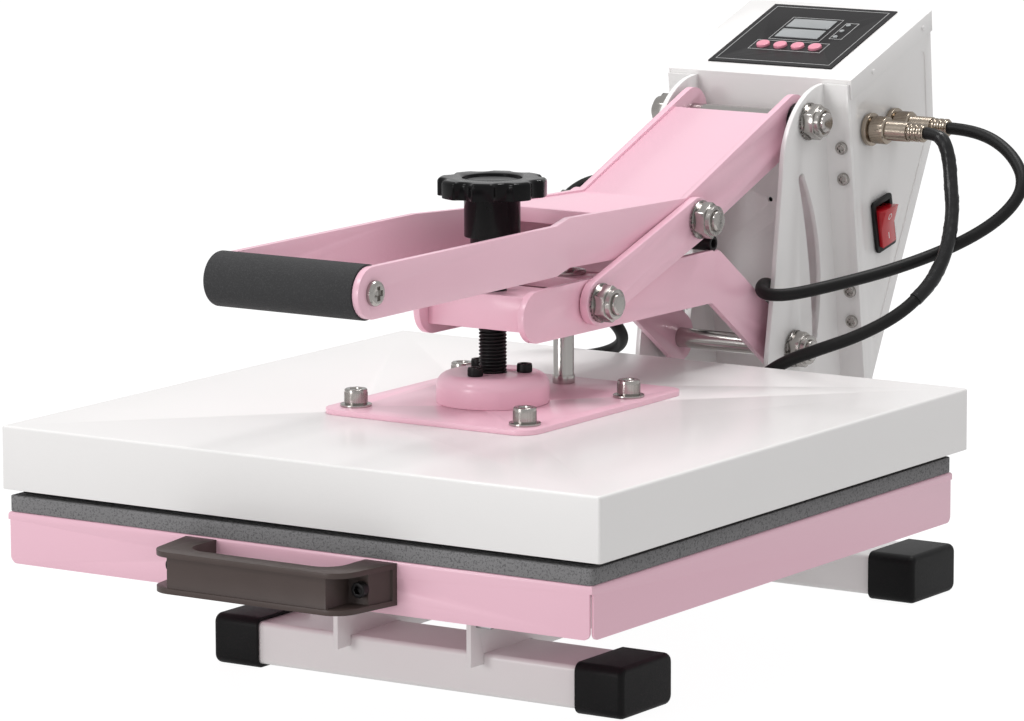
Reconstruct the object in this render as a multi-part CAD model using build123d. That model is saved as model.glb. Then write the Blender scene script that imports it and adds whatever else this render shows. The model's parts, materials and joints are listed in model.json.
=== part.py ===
from build123d import *
import os
from math import atan2, cos, degrees, hypot, pi, radians, sin, tan

# Slide-out heat press. Lengths are in millimetres, X to the right, Y to the back, Z up.
# Pieces are drawn with the heated plate's centre on X = Y = 0 and the floor at Z = 0.
# Writing a piece moves it along Y, so that the middle of the whole footprint is at Y = 0.

# Fits and gaps
RUNNING_GAP = 0.05
HOLE_GAP = 0.2
SEAT_GAP = 0.3
SHEET_GAP = 0.3

# Heated platen
PLATE_SIZE = 380.0
PLATE_THICK = 12.0
PLATE_BOTTOM = 111.2
PLATE_EDGE = 1.2
COVER_TOP = 150.0
COVER_DEPTH = 36.0
COVER_SHEET = 1.5
COVER_BEND = 1.8
COVER_GAP = 6.5
BOSS_RADIUS = 11.0
WOOL_THICK = 19.0
WOOL_MARGIN = 4.0
ELEMENT_RADIUS = 4.0
ELEMENT_SPAN = 250.0
ELEMENT_BEND = 45.0
CUTOUT_RADIUS = 9.0
CUTOUT_HEIGHT = 11.0

# Mounting plate, screws and hub on top of the cover
MOUNT_SHEET = 3.0
MOUNT_WIDTH = 142.0
MOUNT_FRONT = -72.0
MOUNT_REAR = 95.0
MOUNT_CORNER = 12.0
PLATEN_SCREW_X = 57.0
PLATEN_SCREW_Y = 54.0
M8_RADIUS = 4.0
M8_HEAD_RADIUS = 6.5
M8_HEAD = 8.6
M8_REACH = 24.0
WASHER_RADIUS = 9.0
WASHER_THICK = 1.4
HUB_RADIUS = 32.3
HUB_HEIGHT = 17.0
HUB_SHOULDER = 7.5
HUB_SCREW_CIRCLE = 18.0
HUB_SCREW_COUNT = 3
M5_RADIUS = 2.5
M5_HEAD_RADIUS = 4.25
M5_HEAD = 5.0
POST_Y = 74.0
POST_RADIUS = 6.0
POST_TOP = 236.0
POST_COLLAR_RADIUS = 6.5
POST_COLLAR = 5.0

# Height screw and its knob
SCREW_RADIUS = 7.95
THRUST_RADIUS = 11.0
THRUST_THICK = 7.0
JAM_RADIUS = 12.5
JAM_THICK = 4.0
KNOB_BASE = 247.6
KNOB_HUB_RADIUS = 16.0
KNOB_HUB = 23.2
KNOB_RADIUS = 31.0
KNOB_RIM = 10.4
KNOB_LOBES = 8
KNOB_SCALLOP_RADIUS = 7.0
KNOB_SCALLOP_DEPTH = 3.6
KNOB_LOBE_ROUND = 2.5
KNOB_TOP_ROUND = 2.4
KNOB_DISH_RADIUS = 17.0
KNOB_DISH = 1.6
SCREW_IN_KNOB = 15.0

# Pivots, as places on the side view
LEVER_PIVOT_Y = 271.9
LEVER_PIVOT_Z = 287.4
ARM_PIVOT_Y = 256.5
ARM_PIVOT_Z = 151.8
LINK_TOP_Y = 153.5
LINK_TOP_Z = 242.0
LINK_FOOT_Y = 45.0
LINK_FOOT_Z = 207.2
M12_RADIUS = 6.0
NUT_FLATS = 19.0
NUT_HEIGHT = 10.0
TOOTHED_RADIUS = 11.6
TOOTHED_THICK = 1.8
BOLT_TIP = 2.6

# Lower arm
ARM_OUTER = 37.2
ARM_PLATE = 4.0
ARM_ABOVE_LINK = 13.0
ARM_BELOW_LINK = 16.4
ARM_SAG = 1.8
ARM_FRONT = -25.0
ARM_LEG_SLOPE = 35.1
ARM_LEG_RADIUS = 14.8
ARM_APEX_ROUND = 14.0
ARM_CROTCH_ROUND = 8.0
CHANNEL_FRONT = -16.0
CHANNEL_REAR = 20.0
CHANNEL_TOP = 217.0
CHANNEL_DEPTH = 20.0
CHANNEL_SHEET = 3.0
NUT_BLOCK_RADIUS = 13.0
NUT_BLOCK_LENGTH = 17.0
GUIDE_CHANNEL = 28.0
BUSH_RADIUS = 10.0
BUSH_FLANGE_RADIUS = 13.0
BUSH_FLANGE = 2.0
STOP_BAR_Y = 181.2
STOP_BAR_INSET = 1.2
STOP_BAR_RADIUS = 4.5
STOP_BAR_BORE = 2.6
STOP_BAR_SEAT = 0.9

# Hand lever
LEVER_OUTER = 37.5
LEVER_PLATE = 4.0
LEVER_TOP = 258.0
LEVER_UNDER = 229.6
LEVER_FRONT = -203.8
BAR_OUTER = 49.6
JOGGLE_FRONT = -10.0
JOGGLE_REAR = 22.5
LEVER_BEND_TOP_Y = 148.0
LEVER_BEND_TOP_Z = 254.8
LEVER_BEND_UNDER_Y = 153.0
LEVER_BEND_UNDER_Z = 226.4
LEVER_END_RADIUS = 15.5
LEVER_BEND_ROUND = 20.0
WEB_SHEET = 3.0
WEB_FRONT = 56.0
WEB_REAR = 250.0
WEB_REAR_Z = 293.6
WEB_DROP = 1.2
WEB_LIP = 9.0
STOP_TAB_HALF = 14.0
STOP_TAB_THICK = 6.0
GRIP_RADIUS = 15.2
GRIP_OVERHANG = 3.4
GRIP_ROD_RADIUS = 6.0
PAN_HEAD_RADIUS = 7.0
PAN_HEAD = 3.6

# Link bars
LINK_INNER = 38.0
LINK_PLATE = 5.0
LINK_RADIUS = 13.0
LINK_SHARE = 0.3

# Stand plates
STAND_INNER = 43.5
STAND_PLATE = 3.0
STAND_FLANGE_OUTER = 63.0
STAND_HEAD_RADIUS = 48.7
STAND_HEAD_Y = 292.0
STAND_HEAD_Z = 259.5
STAND_FRONT_MID_Y = 234.6
STAND_FRONT_MID_Z = 196.0
STAND_FRONT_LOW_Y = 226.8
STAND_FRONT_LOW_Z = 150.6
STAND_HEEL_Y = 219.0
RAIL_FRONT = -93.0
RAIL_UNDER = 21.0
RAIL_TOP = 71.0
HEEL_ROUND = 24.0
RAIL_ROUND = 6.0
LEAF_FRONT = ((261.5, 252.0), (272.0, 212.0), (278.5, 158.0))
LEAF_FOOT = (281.5, 153.5)
LEAF_REAR = ((284.8, 158.0), (287.2, 204.0), (269.0, 253.0))
LEAF_HEAD = (264.0, 256.5)
FLANGE_SCREW_X = 57.0
FLANGE_SCREW_HEIGHTS = (269.9, 250.8, 181.4, 162.6)
M4_RADIUS = 2.0
M4_HEAD_RADIUS = 3.9
M4_HEAD = 2.6
M4_REACH = 7.0
SPACER_RADIUS = 10.5

# Feet
TUBE_WIDTH = 49.0
TUBE_TOP = 27.0
CAP_WALL = 2.4
TUBE_WALL = 2.0
CAP_END = 3.5
CAP_LENGTH = 31.0
TUBE_ROUND = 3.0
FRONT_FOOT_Y = -55.5
FRONT_FOOT_HALF = 138.3
REAR_FOOT_Y = 298.5
REAR_FOOT_HALF = 121.0
BRACE_FRONT = 190.0
BRACE_REAR = 250.0
BRACE_UNDER = 32.0
BRACE_TOP = 62.0
BRACE_SHEET = 2.5

# Control box
BOX_HALF = 63.0
BOX_SHEET = 1.2
BOX_SIDE = 1.5
BOX_FRONT_TOP_Y = 292.5
BOX_FRONT_TOP_Z = 311.0
BOX_LEAN = 0.128
BOX_FOOT_Z = 121.0
BOX_FOOT_DEPTH = 4.0
BOX_REAR_TOP_Y = 391.0
BOX_REAR_TOP_Z = 344.5
BOX_REAR_Y = 397.0
BOX_REAR_Z = 268.0
BOX_BORDER = 8.0
BOX_EMBOSS = 0.8
BOX_HOLE_X = (2.5, 21.5)
BOX_HOLE_Z = 233.5
BOX_HOLE_RADIUS = 1.6
LID_LIP = 12.0
LID_SHEET = 1.2
RIVET_RADIUS = 1.7
RIVET_HEAD = 0.9
RIVET_PLACES = (0.25, 0.87)
OVERLAY_HALF = 43.5
OVERLAY_FRONT = 13.0
OVERLAY_LENGTH = 85.0
OVERLAY_THICK = 0.8
WINDOW_LEFT = -17.6
WINDOW_RIGHT = 12.5
WINDOW_HEIGHT = 11.8
WINDOW_FROM_FRONT = (51.0, 65.5)
WINDOW_THICK = 0.7
LAMP_X = 22.6
LAMP_FROM_FRONT = (56.0, 64.5, 73.0)
LAMP_RADIUS = 1.6
KEY_X = (-19.2, -7.1, 5.2, 17.4)
KEY_FROM_FRONT = 39.5
KEY_RADIUS = 4.25
KEY_RISE = 1.5
KEY_TRAVEL = 0.8
KEY_FLANGE_RADIUS = 5.4
KEY_FLANGE = 1.0
KEY_SWITCH = 6.0
BOARD_DROP = 9.0
BOARD_THICK = 1.6
BOARD_HALF = 42.0
BOARD_LENGTH = 74.0
BOARD_POST_RADIUS = 3.0
RELAY_WIDTH = 46.0
RELAY_DEPTH = 22.0
RELAY_HEIGHT = 40.0
RELAY_Z = 215.0

# Rocker switch, lead sockets and plugs on the right of the box, inlet at its rear
ROCKER_Y = 334.3
ROCKER_Z = 219.8
ROCKER_TILT = 12.0
ROCKER_BEZEL_WIDTH = 23.0
ROCKER_BEZEL_LENGTH = 32.5
ROCKER_BEZEL_RISE = 1.6
ROCKER_BEZEL_ROUND = 2.5
ROCKER_WIDTH = 16.0
ROCKER_LENGTH = 25.0
ROCKER_BODY_DEPTH = 20.0
ROCKER_THROW = 20.0
ROCKER_RISE = 2.1
ROCKER_PIVOT_DEPTH = 4.0
ROCKER_PIN_RADIUS = 1.5
ROCKER_END_GAP = 0.6
ROCKER_FOOT = 3.0
ROCKER_TAPER = 2.5
ROCKER_CASE = 1.5
PLUG_Z = 279.0
PLUG_FRONT_Y = 317.0
PLUG_REAR_Y = 346.0
SOCKET_NUT_RADIUS = 10.0
SOCKET_NUT = 3.0
SOCKET_RADIUS = 7.0
SOCKET_REACH = 9.0
SOCKET_BEHIND = 12.0
PLUG_RING_RADIUS = 8.2
PLUG_RING = 10.5
PLUG_BODY_RADIUS = 6.0
PLUG_BODY = 14.0
PLUG_CLAMP_RADIUS = 5.6
PLUG_CLAMP = 11.2
PLUG_EDGE = 0.8
INLET_WIDTH = 48.0
INLET_HEIGHT = 27.0
INLET_RISE = 2.5
INLET_ROUND = 5.0
INLET_BODY = 16.0
INLET_CORE_HALF = (14.0, 11.0)
INLET_RECESS_HALF = (12.0, 8.0)
INLET_FLOOR = 3.0
INLET_PINS = ((-6.0, -2.0), (0.0, 2.5), (6.0, -2.0))
INLET_PIN_HALF = (1.0, 2.0)
INLET_PIN_TIP = 12.0

# Drawer
PAD_THICK = 9.0
PAD_GAP = 0.3
PAD_INSET = 0.4
PAD_ROUND = 3.0
DRAWER_OFFSET = -5.2
PAN_MARGIN = 3.4
PAN_DEPTH = 29.3
PAN_SHEET = 1.5
PAN_CORNER = 4.0
PAN_BEND = 1.8
PAN_SLIT = 1.7
PAN_SLIT_STOP = 4.5
SLIDE_LENGTH = 300.0
SLIDE_FRONT = -88.0
SLIDE_UNDER = 43.0
SLIDE_TOP = 70.0
SLIDE_SHEET = 1.2
SLIDE_WIDTH = 10.0
SLIDE_MIDDLE_WIDTH = 8.0
SLIDE_INNER_WIDTH = 8.3
CARRIAGE_SHEET = 2.0
CARRIAGE_FLANGE = 24.0
CARRIAGE_LENGTH = 260.0
CARRIAGE_SETBACK = 10.0
SLIDE_RIVET_INSET = 40.0
SLIDE_RIVET_RADIUS = 2.0
SLIDE_RIVET_HEAD = 1.2

# Pull handle
PULL_FOOT_HALF = 70.0
PULL_FRONT_HALF = 63.0
PULL_REACH = 43.0
PULL_TOP = 101.0
PULL_UNDER = 78.0
PULL_FLANGE = 3.0
PULL_RECESS = 1.6
PULL_BAR = 12.5
PULL_GAP_HALF = 49.5
PULL_CORNER = 14.0
PULL_GAP_CORNER = 13.0
PULL_WEB_HALF = 52.4
PULL_FOOT_DEPTH = 20.0
PULL_SCREW_X = 61.5

# Leads and their glands
LEAD_RADIUS = 3.75
GLAND_RIGHT_X = 30.0
GLAND_RIGHT_WIDTH = 22.0
GLAND_Z = 137.0
GLAND_OFFSET = 9.5
GLAND_HALF = 8.0
GLAND_ROUND = 4.0
GLAND_LEFT_ROUND = 2.0
GLAND_LEFT_X = -104.0
GLAND_LEFT_RADIUS = 7.5
GLAND_LEFT_REACH = 12.0
GLAND_HOLE_GAP = 1.0
FRONT_LEAD_BENDS = ((110.0, 317.0, 279.0), (117.0, 315.5, 273.0), (121.5, 311.5, 262.0), (126.5, 305.0, 250.0),
                    (133.0, 295.0, 233.5), (137.0, 283.0, 219.5), (138.0, 271.0, 205.5), (135.0, 256.0, 192.5),
                    (126.0, 241.0, 180.0), (108.0, 226.5, 168.5), (88.0, 216.0, 160.5), (66.0, 209.0, 151.5),
                    (47.0, 207.5, 137.0))
REAR_LEAD_BENDS = ((122.0, 346.0, 279.0), (147.0, 342.0, 268.0), (163.0, 331.0, 251.0), (157.0, 317.0, 233.5),
                   (137.6, 299.2, 217.4), (110.5, 268.8, 203.7), (80.0, 236.3, 194.2), (63.0, 223.0, 190.0),
                   (52.0, 219.0, 189.5), (44.5, 221.5, 190.5), (40.6, 228.5, 193.0), (38.8, 237.0, 193.5),
                   (38.4, 247.0, 189.0), (38.0, 259.0, 181.0), (34.0, 272.0, 174.0), (24.0, 282.0, 170.5),
                   (0.0, 286.0, 170.0), (-28.0, 284.0, 175.0), (-38.8, 272.0, 187.0), (-39.2, 254.0, 205.0), (-39.5, 240.0, 225.0), (-40.5, 231.0, 247.0),
                   (-52.0, 213.0, 253.0), (-66.0, 197.0, 251.0), (-78.0, 186.0, 236.0), (-82.0, 184.0, 213.0),
                   (-76.0, 191.0, 190.0), (-64.0, 205.0, 174.0), (-56.0, 219.0, 164.0), (-60.0, 236.0, 150.0),
                   (-78.0, 246.0, 140.0), (-97.0, 237.0, 136.5), (-104.0, 221.0, 137.0))

# Heights and places that follow from the sizes above
COVER_SIZE = PLATE_SIZE + 2 * (COVER_GAP + COVER_SHEET)
COVER_HALF = COVER_SIZE / 2
PAN_SIZE = PLATE_SIZE + 2 * PAN_MARGIN
PLATE_TOP = PLATE_BOTTOM + PLATE_THICK
COVER_CEILING = COVER_TOP - COVER_SHEET
MOUNT_TOP = COVER_TOP + MOUNT_SHEET
HUB_TOP = MOUNT_TOP + HUB_HEIGHT
PAN_TOP = PLATE_BOTTOM - PAD_GAP - PAD_THICK
PAN_FRONT = DRAWER_OFFSET - PAN_SIZE / 2
PULL_FRONT = PAN_FRONT - PULL_REACH
ARM_TOP = LINK_FOOT_Z + ARM_ABOVE_LINK
ARM_UNDER = LINK_FOOT_Z - ARM_BELOW_LINK
NUT_BLOCK_TOP = CHANNEL_TOP - CHANNEL_SHEET
NUT_BLOCK_UNDER = NUT_BLOCK_TOP - NUT_BLOCK_LENGTH
LEVER_MID = (LEVER_TOP + LEVER_UNDER) / 2
LEVER_NOSE_RADIUS = (LEVER_TOP - LEVER_UNDER) / 2
GRIP_Y = LEVER_FRONT + LEVER_NOSE_RADIUS
STAND_OUTER = STAND_INNER + STAND_PLATE
ARM_INNER = ARM_OUTER - ARM_PLATE
LEVER_INNER = LEVER_OUTER - LEVER_PLATE
LINK_OUTER = LINK_INNER + LINK_PLATE
LEAN_ANGLE = degrees(atan2(BOX_LEAN, 1))
LID_ANGLE = degrees(atan2(BOX_REAR_TOP_Z - BOX_FRONT_TOP_Z, BOX_REAR_TOP_Y - BOX_FRONT_TOP_Y))
LID_LENGTH = hypot(BOX_REAR_TOP_Y - BOX_FRONT_TOP_Y, BOX_REAR_TOP_Z - BOX_FRONT_TOP_Z)
REAR_LEAN = degrees(atan2(BOX_REAR_Y - BOX_REAR_TOP_Y, BOX_REAR_TOP_Z - BOX_REAR_Z))
INLET_Y = (BOX_REAR_Y + BOX_REAR_TOP_Y) / 2
INLET_Z = (BOX_REAR_Z + BOX_REAR_TOP_Z) / 2
INLET_REAR = INLET_Y + INLET_RISE * cos(radians(REAR_LEAN)) + INLET_HEIGHT / 2 * sin(radians(REAR_LEAN))
SHIFT_Y = -(PULL_FRONT + max(BOX_REAR_Y, INLET_REAR)) / 2

os.makedirs("parts", exist_ok=True)


def save(node, *shapes):
    solids = [Pos(0, SHIFT_Y, 0) * solid for shape in shapes for solid in shape.solids()]
    whole = solids[0] if len(solids) == 1 else Compound(children=solids)
    export_step(whole, f"parts/{node}.step")


def flip(shape):
    return mirror(shape, about=Plane.YZ)


def block(x, y, z):
    low = Align.MIN
    size = Box(x[1] - x[0], y[1] - y[0], z[1] - z[0], align=(low, low, low))
    return Pos(x[0], y[0], z[0]) * size


def upright_rod(radius, length):
    return Cylinder(radius, length, align=(Align.CENTER, Align.CENTER, Align.MIN))


def rod_x(x, y, z, radius):
    return Pos(x[0], y, z) * Rot(0, 90, 0) * upright_rod(radius, x[1] - x[0])


def rod_y(x, y, z, radius):
    return Pos(x, y[0], z) * Rot(-90, 0, 0) * upright_rod(radius, y[1] - y[0])


def rod_z(x, y, z, radius):
    return Pos(x, y, z[0]) * upright_rod(radius, z[1] - z[0])


def side_view(x):
    return Plane(origin=(x, 0, 0), x_dir=(0, 1, 0), z_dir=(1, 0, 0))


def from_side(outline, x):
    return extrude(side_view(x[0]) * outline, amount=x[1] - x[0])


def from_above(outline, z):
    return extrude(Plane(origin=(0, 0, z[0])) * outline, amount=z[1] - z[0])


def polygon(*points):
    return make_face(Polyline(*points, close=True))


def round_near(outline, place, radius):
    return fillet(outline.vertices().sort_by_distance((place[0], place[1], 0))[0], radius)


def disc(y, z, radius):
    return Pos(y, z) * Circle(radius)


def hexagon(flats):
    return RegularPolygon(flats / 2, 6, major_radius=False)


def socket_screw(top, reach, radius, head_radius, head):
    # Head from Z = top upwards and shank downwards, on the Z axis
    key = extrude(Plane(origin=(0, 0, top + head * 0.35)) * hexagon(head_radius), amount=head)
    body = rod_z(0, 0, (top, top + head), head_radius)
    body = chamfer(body.edges().group_by(Axis.Z)[-1], head_radius * 0.08)
    return body - key + rod_z(0, 0, (top - reach, top), radius)


def pan_screw(radius, reach, head_radius, head):
    # Head from Z = 0 upwards with a cross recess, shank downwards
    body = fillet(rod_z(0, 0, (0, head), head_radius).edges().group_by(Axis.Z)[-1], head * 0.55)
    slot = head_radius * 0.22
    arm = head_radius * 0.55
    cross = block((-arm, arm), (-slot, slot), (head * 0.5, head))
    cross += block((-slot, slot), (-arm, arm), (head * 0.5, head))
    return body - cross + rod_z(0, 0, (-reach, 0), radius)


def lock_nut(y, z, x):
    # Hexagon with a round collar that holds the locking ring, between two X places
    outline = Rot(0, 0, 30) * hexagon(NUT_FLATS)
    collar = (x[1] - x[0]) * 0.72
    body = extrude(side_view(x[0]) * (Pos(y, z) * outline), amount=collar)
    body &= rod_x(x, y, z, NUT_FLATS * 0.565)
    body += rod_x(x, y, z, NUT_FLATS * 0.46)
    return body - rod_x(x, y, z, M12_RADIUS + HOLE_GAP)


def toothed_washer(y, z, x):
    return rod_x(x, y, z, TOOTHED_RADIUS) - rod_x(x, y, z, M12_RADIUS + HOLE_GAP)


# Heated platen
def platen_holes(radius, z):
    places = [(x, y) for x in (-PLATEN_SCREW_X, PLATEN_SCREW_X) for y in (-PLATEN_SCREW_Y, PLATEN_SCREW_Y)]
    return [rod_z(x, y, z, radius) for x, y in places]


def element_path():
    half = ELEMENT_SPAN / 2
    ends = [(-half, half), (-half, -half), (half, -half), (half, half)]
    return FilletPolyline(*[(x, y, PLATE_TOP) for x, y in ends], radius=ELEMENT_BEND)


def element_tube(radius):
    path = element_path()
    return sweep(Plane(origin=path @ 0, z_dir=path % 0) * Circle(radius), path=path)


cover_outer = block((-COVER_HALF, COVER_HALF), (-COVER_HALF, COVER_HALF), (COVER_TOP - COVER_DEPTH, COVER_TOP))
cover_outer = fillet(cover_outer.edges().filter_by(Axis.Z), COVER_BEND)
cover_outer = fillet(cover_outer.edges().group_by(Axis.Z)[-1], COVER_BEND - HOLE_GAP)
inner_half = COVER_HALF - COVER_SHEET
cover_inner = block((-inner_half, inner_half), (-inner_half, inner_half),
                    (COVER_TOP - COVER_DEPTH, COVER_CEILING))
cover_inner = fillet(cover_inner.edges().filter_by(Axis.Z), COVER_BEND - COVER_SHEET)
platen_cover = cover_outer - cover_inner
for hole in platen_holes(M8_RADIUS + HOLE_GAP, (COVER_CEILING, COVER_TOP)):
    platen_cover -= hole
for x in (GLAND_RIGHT_X - GLAND_RIGHT_WIDTH / 2, GLAND_LEFT_X):
    platen_cover -= rod_y(x, (inner_half, COVER_HALF), GLAND_Z, LEAD_RADIUS + GLAND_HOLE_GAP)
save("platen_cover", platen_cover)

plate_half = PLATE_SIZE / 2
heating_plate = block((-plate_half, plate_half), (-plate_half, plate_half), (PLATE_BOTTOM, PLATE_TOP))
heating_plate = chamfer(heating_plate.edges().group_by(Axis.Z)[0], PLATE_EDGE)
for boss in platen_holes(BOSS_RADIUS, (PLATE_TOP, COVER_CEILING)):
    heating_plate += boss
for hole in platen_holes(M8_RADIUS + HOLE_GAP, (MOUNT_TOP - M8_REACH - 1, COVER_CEILING)):
    heating_plate -= hole
heating_plate -= element_tube(ELEMENT_RADIUS + HOLE_GAP)
save("heating_plate", heating_plate)

wool_half = plate_half - WOOL_MARGIN
insulation = block((-wool_half, wool_half), (-wool_half, wool_half), (PLATE_TOP, PLATE_TOP + WOOL_THICK))
for boss in platen_holes(BOSS_RADIUS + SEAT_GAP, (PLATE_TOP, PLATE_TOP + WOOL_THICK)):
    insulation -= boss
insulation -= rod_z(0, 0, (PLATE_TOP, PLATE_TOP + WOOL_THICK), CUTOUT_RADIUS + SEAT_GAP)
insulation -= element_tube(ELEMENT_RADIUS + HOLE_GAP)
save("insulation", insulation)
cutout = rod_z(0, 0, (PLATE_TOP, PLATE_TOP + CUTOUT_HEIGHT), CUTOUT_RADIUS)
save("heating_element", element_tube(ELEMENT_RADIUS), cutout)

# Mounting plate with its screws and washers
mount_half = MOUNT_WIDTH / 2
mounting_plate = block((-mount_half, mount_half), (MOUNT_FRONT, MOUNT_REAR), (COVER_TOP, MOUNT_TOP))
mounting_plate = fillet(mounting_plate.edges().filter_by(Axis.Z), MOUNT_CORNER)
for hole in platen_holes(M8_RADIUS + HOLE_GAP, (COVER_TOP, MOUNT_TOP)):
    mounting_plate -= hole
hub_turns = [Rot(0, 0, 30 + 360 / HUB_SCREW_COUNT * turn) for turn in range(HUB_SCREW_COUNT)]
for turn in hub_turns:
    mounting_plate -= turn * rod_z(HUB_SCREW_CIRCLE, 0, (COVER_TOP, MOUNT_TOP), M5_RADIUS + HOLE_GAP)
save("mounting_plate", mounting_plate)

washer_top = MOUNT_TOP + WASHER_THICK
washers = []
screws = []
for x in (-PLATEN_SCREW_X, PLATEN_SCREW_X):
    for y in (-PLATEN_SCREW_Y, PLATEN_SCREW_Y):
        ring = rod_z(x, y, (MOUNT_TOP, washer_top), WASHER_RADIUS)
        washers.append(ring - rod_z(x, y, (MOUNT_TOP, washer_top), M8_RADIUS + HOLE_GAP))
        screws.append(Pos(x, y, 0) * socket_screw(washer_top, M8_REACH, M8_RADIUS, M8_HEAD_RADIUS, M8_HEAD))
save("platen_screws", *screws, *washers)

# Hub that holds the thrust collar of the height screw
thrust_top = MOUNT_TOP + SEAT_GAP + THRUST_THICK
hub = fillet(rod_z(0, 0, (MOUNT_TOP, HUB_TOP), HUB_RADIUS).edges().group_by(Axis.Z)[-1], HUB_SHOULDER)
hub -= rod_z(0, 0, (MOUNT_TOP, thrust_top + SEAT_GAP), THRUST_RADIUS + SEAT_GAP)
hub -= rod_z(0, 0, (MOUNT_TOP, HUB_TOP), SCREW_RADIUS + RUNNING_GAP)
hub_screws = []
for turn in hub_turns:
    hub -= turn * rod_z(HUB_SCREW_CIRCLE, 0, (MOUNT_TOP, HUB_TOP), M5_RADIUS + HOLE_GAP)
    reach = HUB_HEIGHT + MOUNT_SHEET
    hub_screws.append(turn * Pos(HUB_SCREW_CIRCLE, 0, 0)
                      * socket_screw(HUB_TOP, reach, M5_RADIUS, M5_HEAD_RADIUS, M5_HEAD))
save("hub", hub)
save("hub_screws", *hub_screws)

guide_post = rod_z(0, POST_Y, (MOUNT_TOP, POST_TOP), POST_RADIUS)
guide_post = chamfer(guide_post.edges().group_by(Axis.Z)[-1], 1.0)
guide_post += rod_z(0, POST_Y, (MOUNT_TOP, MOUNT_TOP + POST_COLLAR), POST_COLLAR_RADIUS)
save("guide_post", guide_post)

# Lead glands on the cover's rear wall: an elbow on the right and a straight one on the left
gland_y = COVER_HALF + GLAND_OFFSET
elbow = block((GLAND_RIGHT_X - GLAND_RIGHT_WIDTH, GLAND_RIGHT_X), (COVER_HALF, gland_y + GLAND_HALF),
              (GLAND_Z - GLAND_HALF, GLAND_Z + GLAND_HALF))
elbow = fillet(elbow.edges().filter_by(Axis.X), GLAND_ROUND)
elbow_stub = GLAND_RIGHT_X - GLAND_RIGHT_WIDTH / 2
stub_radius = LEAD_RADIUS + GLAND_HOLE_GAP - HOLE_GAP
elbow += rod_y(elbow_stub, (COVER_HALF - COVER_SHEET, COVER_HALF), GLAND_Z, stub_radius)
straight = rod_y(GLAND_LEFT_X, (COVER_HALF, COVER_HALF + GLAND_LEFT_REACH), GLAND_Z, GLAND_LEFT_RADIUS)
straight = fillet(straight.edges().group_by(Axis.Y)[-1], GLAND_LEFT_ROUND)
straight += rod_y(GLAND_LEFT_X, (COVER_HALF - COVER_SHEET, COVER_HALF), GLAND_Z, stub_radius)
save("lead_glands", elbow, straight)

# Height screw: threaded rod with its thrust collar, jam collar and lobed knob
height_screw = rod_z(0, 0, (MOUNT_TOP + SEAT_GAP, KNOB_BASE + SCREW_IN_KNOB), SCREW_RADIUS)
height_screw += rod_z(0, 0, (MOUNT_TOP + SEAT_GAP, thrust_top), THRUST_RADIUS)
jam_collar = rod_z(0, 0, (KNOB_BASE - JAM_THICK, KNOB_BASE), JAM_RADIUS)
jam_collar -= rod_z(0, 0, (KNOB_BASE - JAM_THICK, KNOB_BASE), SCREW_RADIUS + RUNNING_GAP)
save("height_screw", height_screw, jam_collar)

rim_base = KNOB_BASE + KNOB_HUB
rim_top = rim_base + KNOB_RIM
rim_outline = Circle(KNOB_RADIUS)
scallop_at = KNOB_RADIUS + KNOB_SCALLOP_RADIUS - KNOB_SCALLOP_DEPTH
for lobe in range(KNOB_LOBES):
    rim_outline -= Rot(0, 0, 360 / KNOB_LOBES * lobe) * Pos(scallop_at, 0) * Circle(KNOB_SCALLOP_RADIUS)
knob = from_above(fillet(rim_outline.vertices(), KNOB_LOBE_ROUND), (rim_base, rim_top))
knob = fillet(knob.edges().group_by(Axis.Z)[-1], KNOB_TOP_ROUND)
knob += rod_z(0, 0, (KNOB_BASE, rim_base), KNOB_HUB_RADIUS)
knob -= rod_z(0, 0, (rim_top - KNOB_DISH, rim_top), KNOB_DISH_RADIUS)
knob -= rod_z(0, 0, (KNOB_BASE, KNOB_BASE + SCREW_IN_KNOB + SEAT_GAP), SCREW_RADIUS + RUNNING_GAP)
save("knob", knob)

# Lower arm: two plates that bend down to the rear pivot
slope = radians(ARM_LEG_SLOPE)
along = (cos(slope), -sin(slope))
across = (sin(slope) * ARM_LEG_RADIUS, cos(slope) * ARM_LEG_RADIUS)
leg_top = (ARM_PIVOT_Y + across[0], ARM_PIVOT_Z + across[1])
leg_under = (ARM_PIVOT_Y - across[0], ARM_PIVOT_Z - across[1])
apex = (leg_top[0] - (ARM_TOP - leg_top[1]) / tan(slope), ARM_TOP)
crotch_z = ARM_UNDER - ARM_SAG
crotch = (leg_under[0] - (crotch_z - leg_under[1]) / tan(slope), crotch_z)
nose = (ARM_TOP - ARM_UNDER) / 2
arm_outline = polygon((ARM_FRONT + nose, ARM_UNDER), crotch, leg_under,
                      leg_top, apex, (ARM_FRONT + nose, ARM_TOP))
arm_outline = round_near(arm_outline, apex, ARM_APEX_ROUND)
arm_outline = round_near(arm_outline, crotch, ARM_CROTCH_ROUND)
arm_outline += disc(ARM_FRONT + nose, ARM_UNDER + nose, nose)
arm_outline += disc(ARM_PIVOT_Y, ARM_PIVOT_Z, ARM_LEG_RADIUS)
stop_bar_z = ARM_TOP + STOP_BAR_RADIUS - STOP_BAR_SEAT
arm_outline -= disc(ARM_PIVOT_Y, ARM_PIVOT_Z, M12_RADIUS + RUNNING_GAP)
arm_outline -= disc(LINK_FOOT_Y, LINK_FOOT_Z, M12_RADIUS + RUNNING_GAP)
arm_outline -= disc(STOP_BAR_Y, stop_bar_z, STOP_BAR_RADIUS + RUNNING_GAP)
arm_plate = from_side(arm_outline, (ARM_INNER, ARM_OUTER))
save("arm_plates", arm_plate, flip(arm_plate))


def cross_channel(y):
    channel = block((-ARM_INNER, ARM_INNER), y, (CHANNEL_TOP - CHANNEL_DEPTH, CHANNEL_TOP))
    inside = (y[0] + CHANNEL_SHEET, y[1] - CHANNEL_SHEET)
    return channel - block((-ARM_INNER, ARM_INNER), inside,
                           (CHANNEL_TOP - CHANNEL_DEPTH, CHANNEL_TOP - CHANNEL_SHEET))


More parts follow.
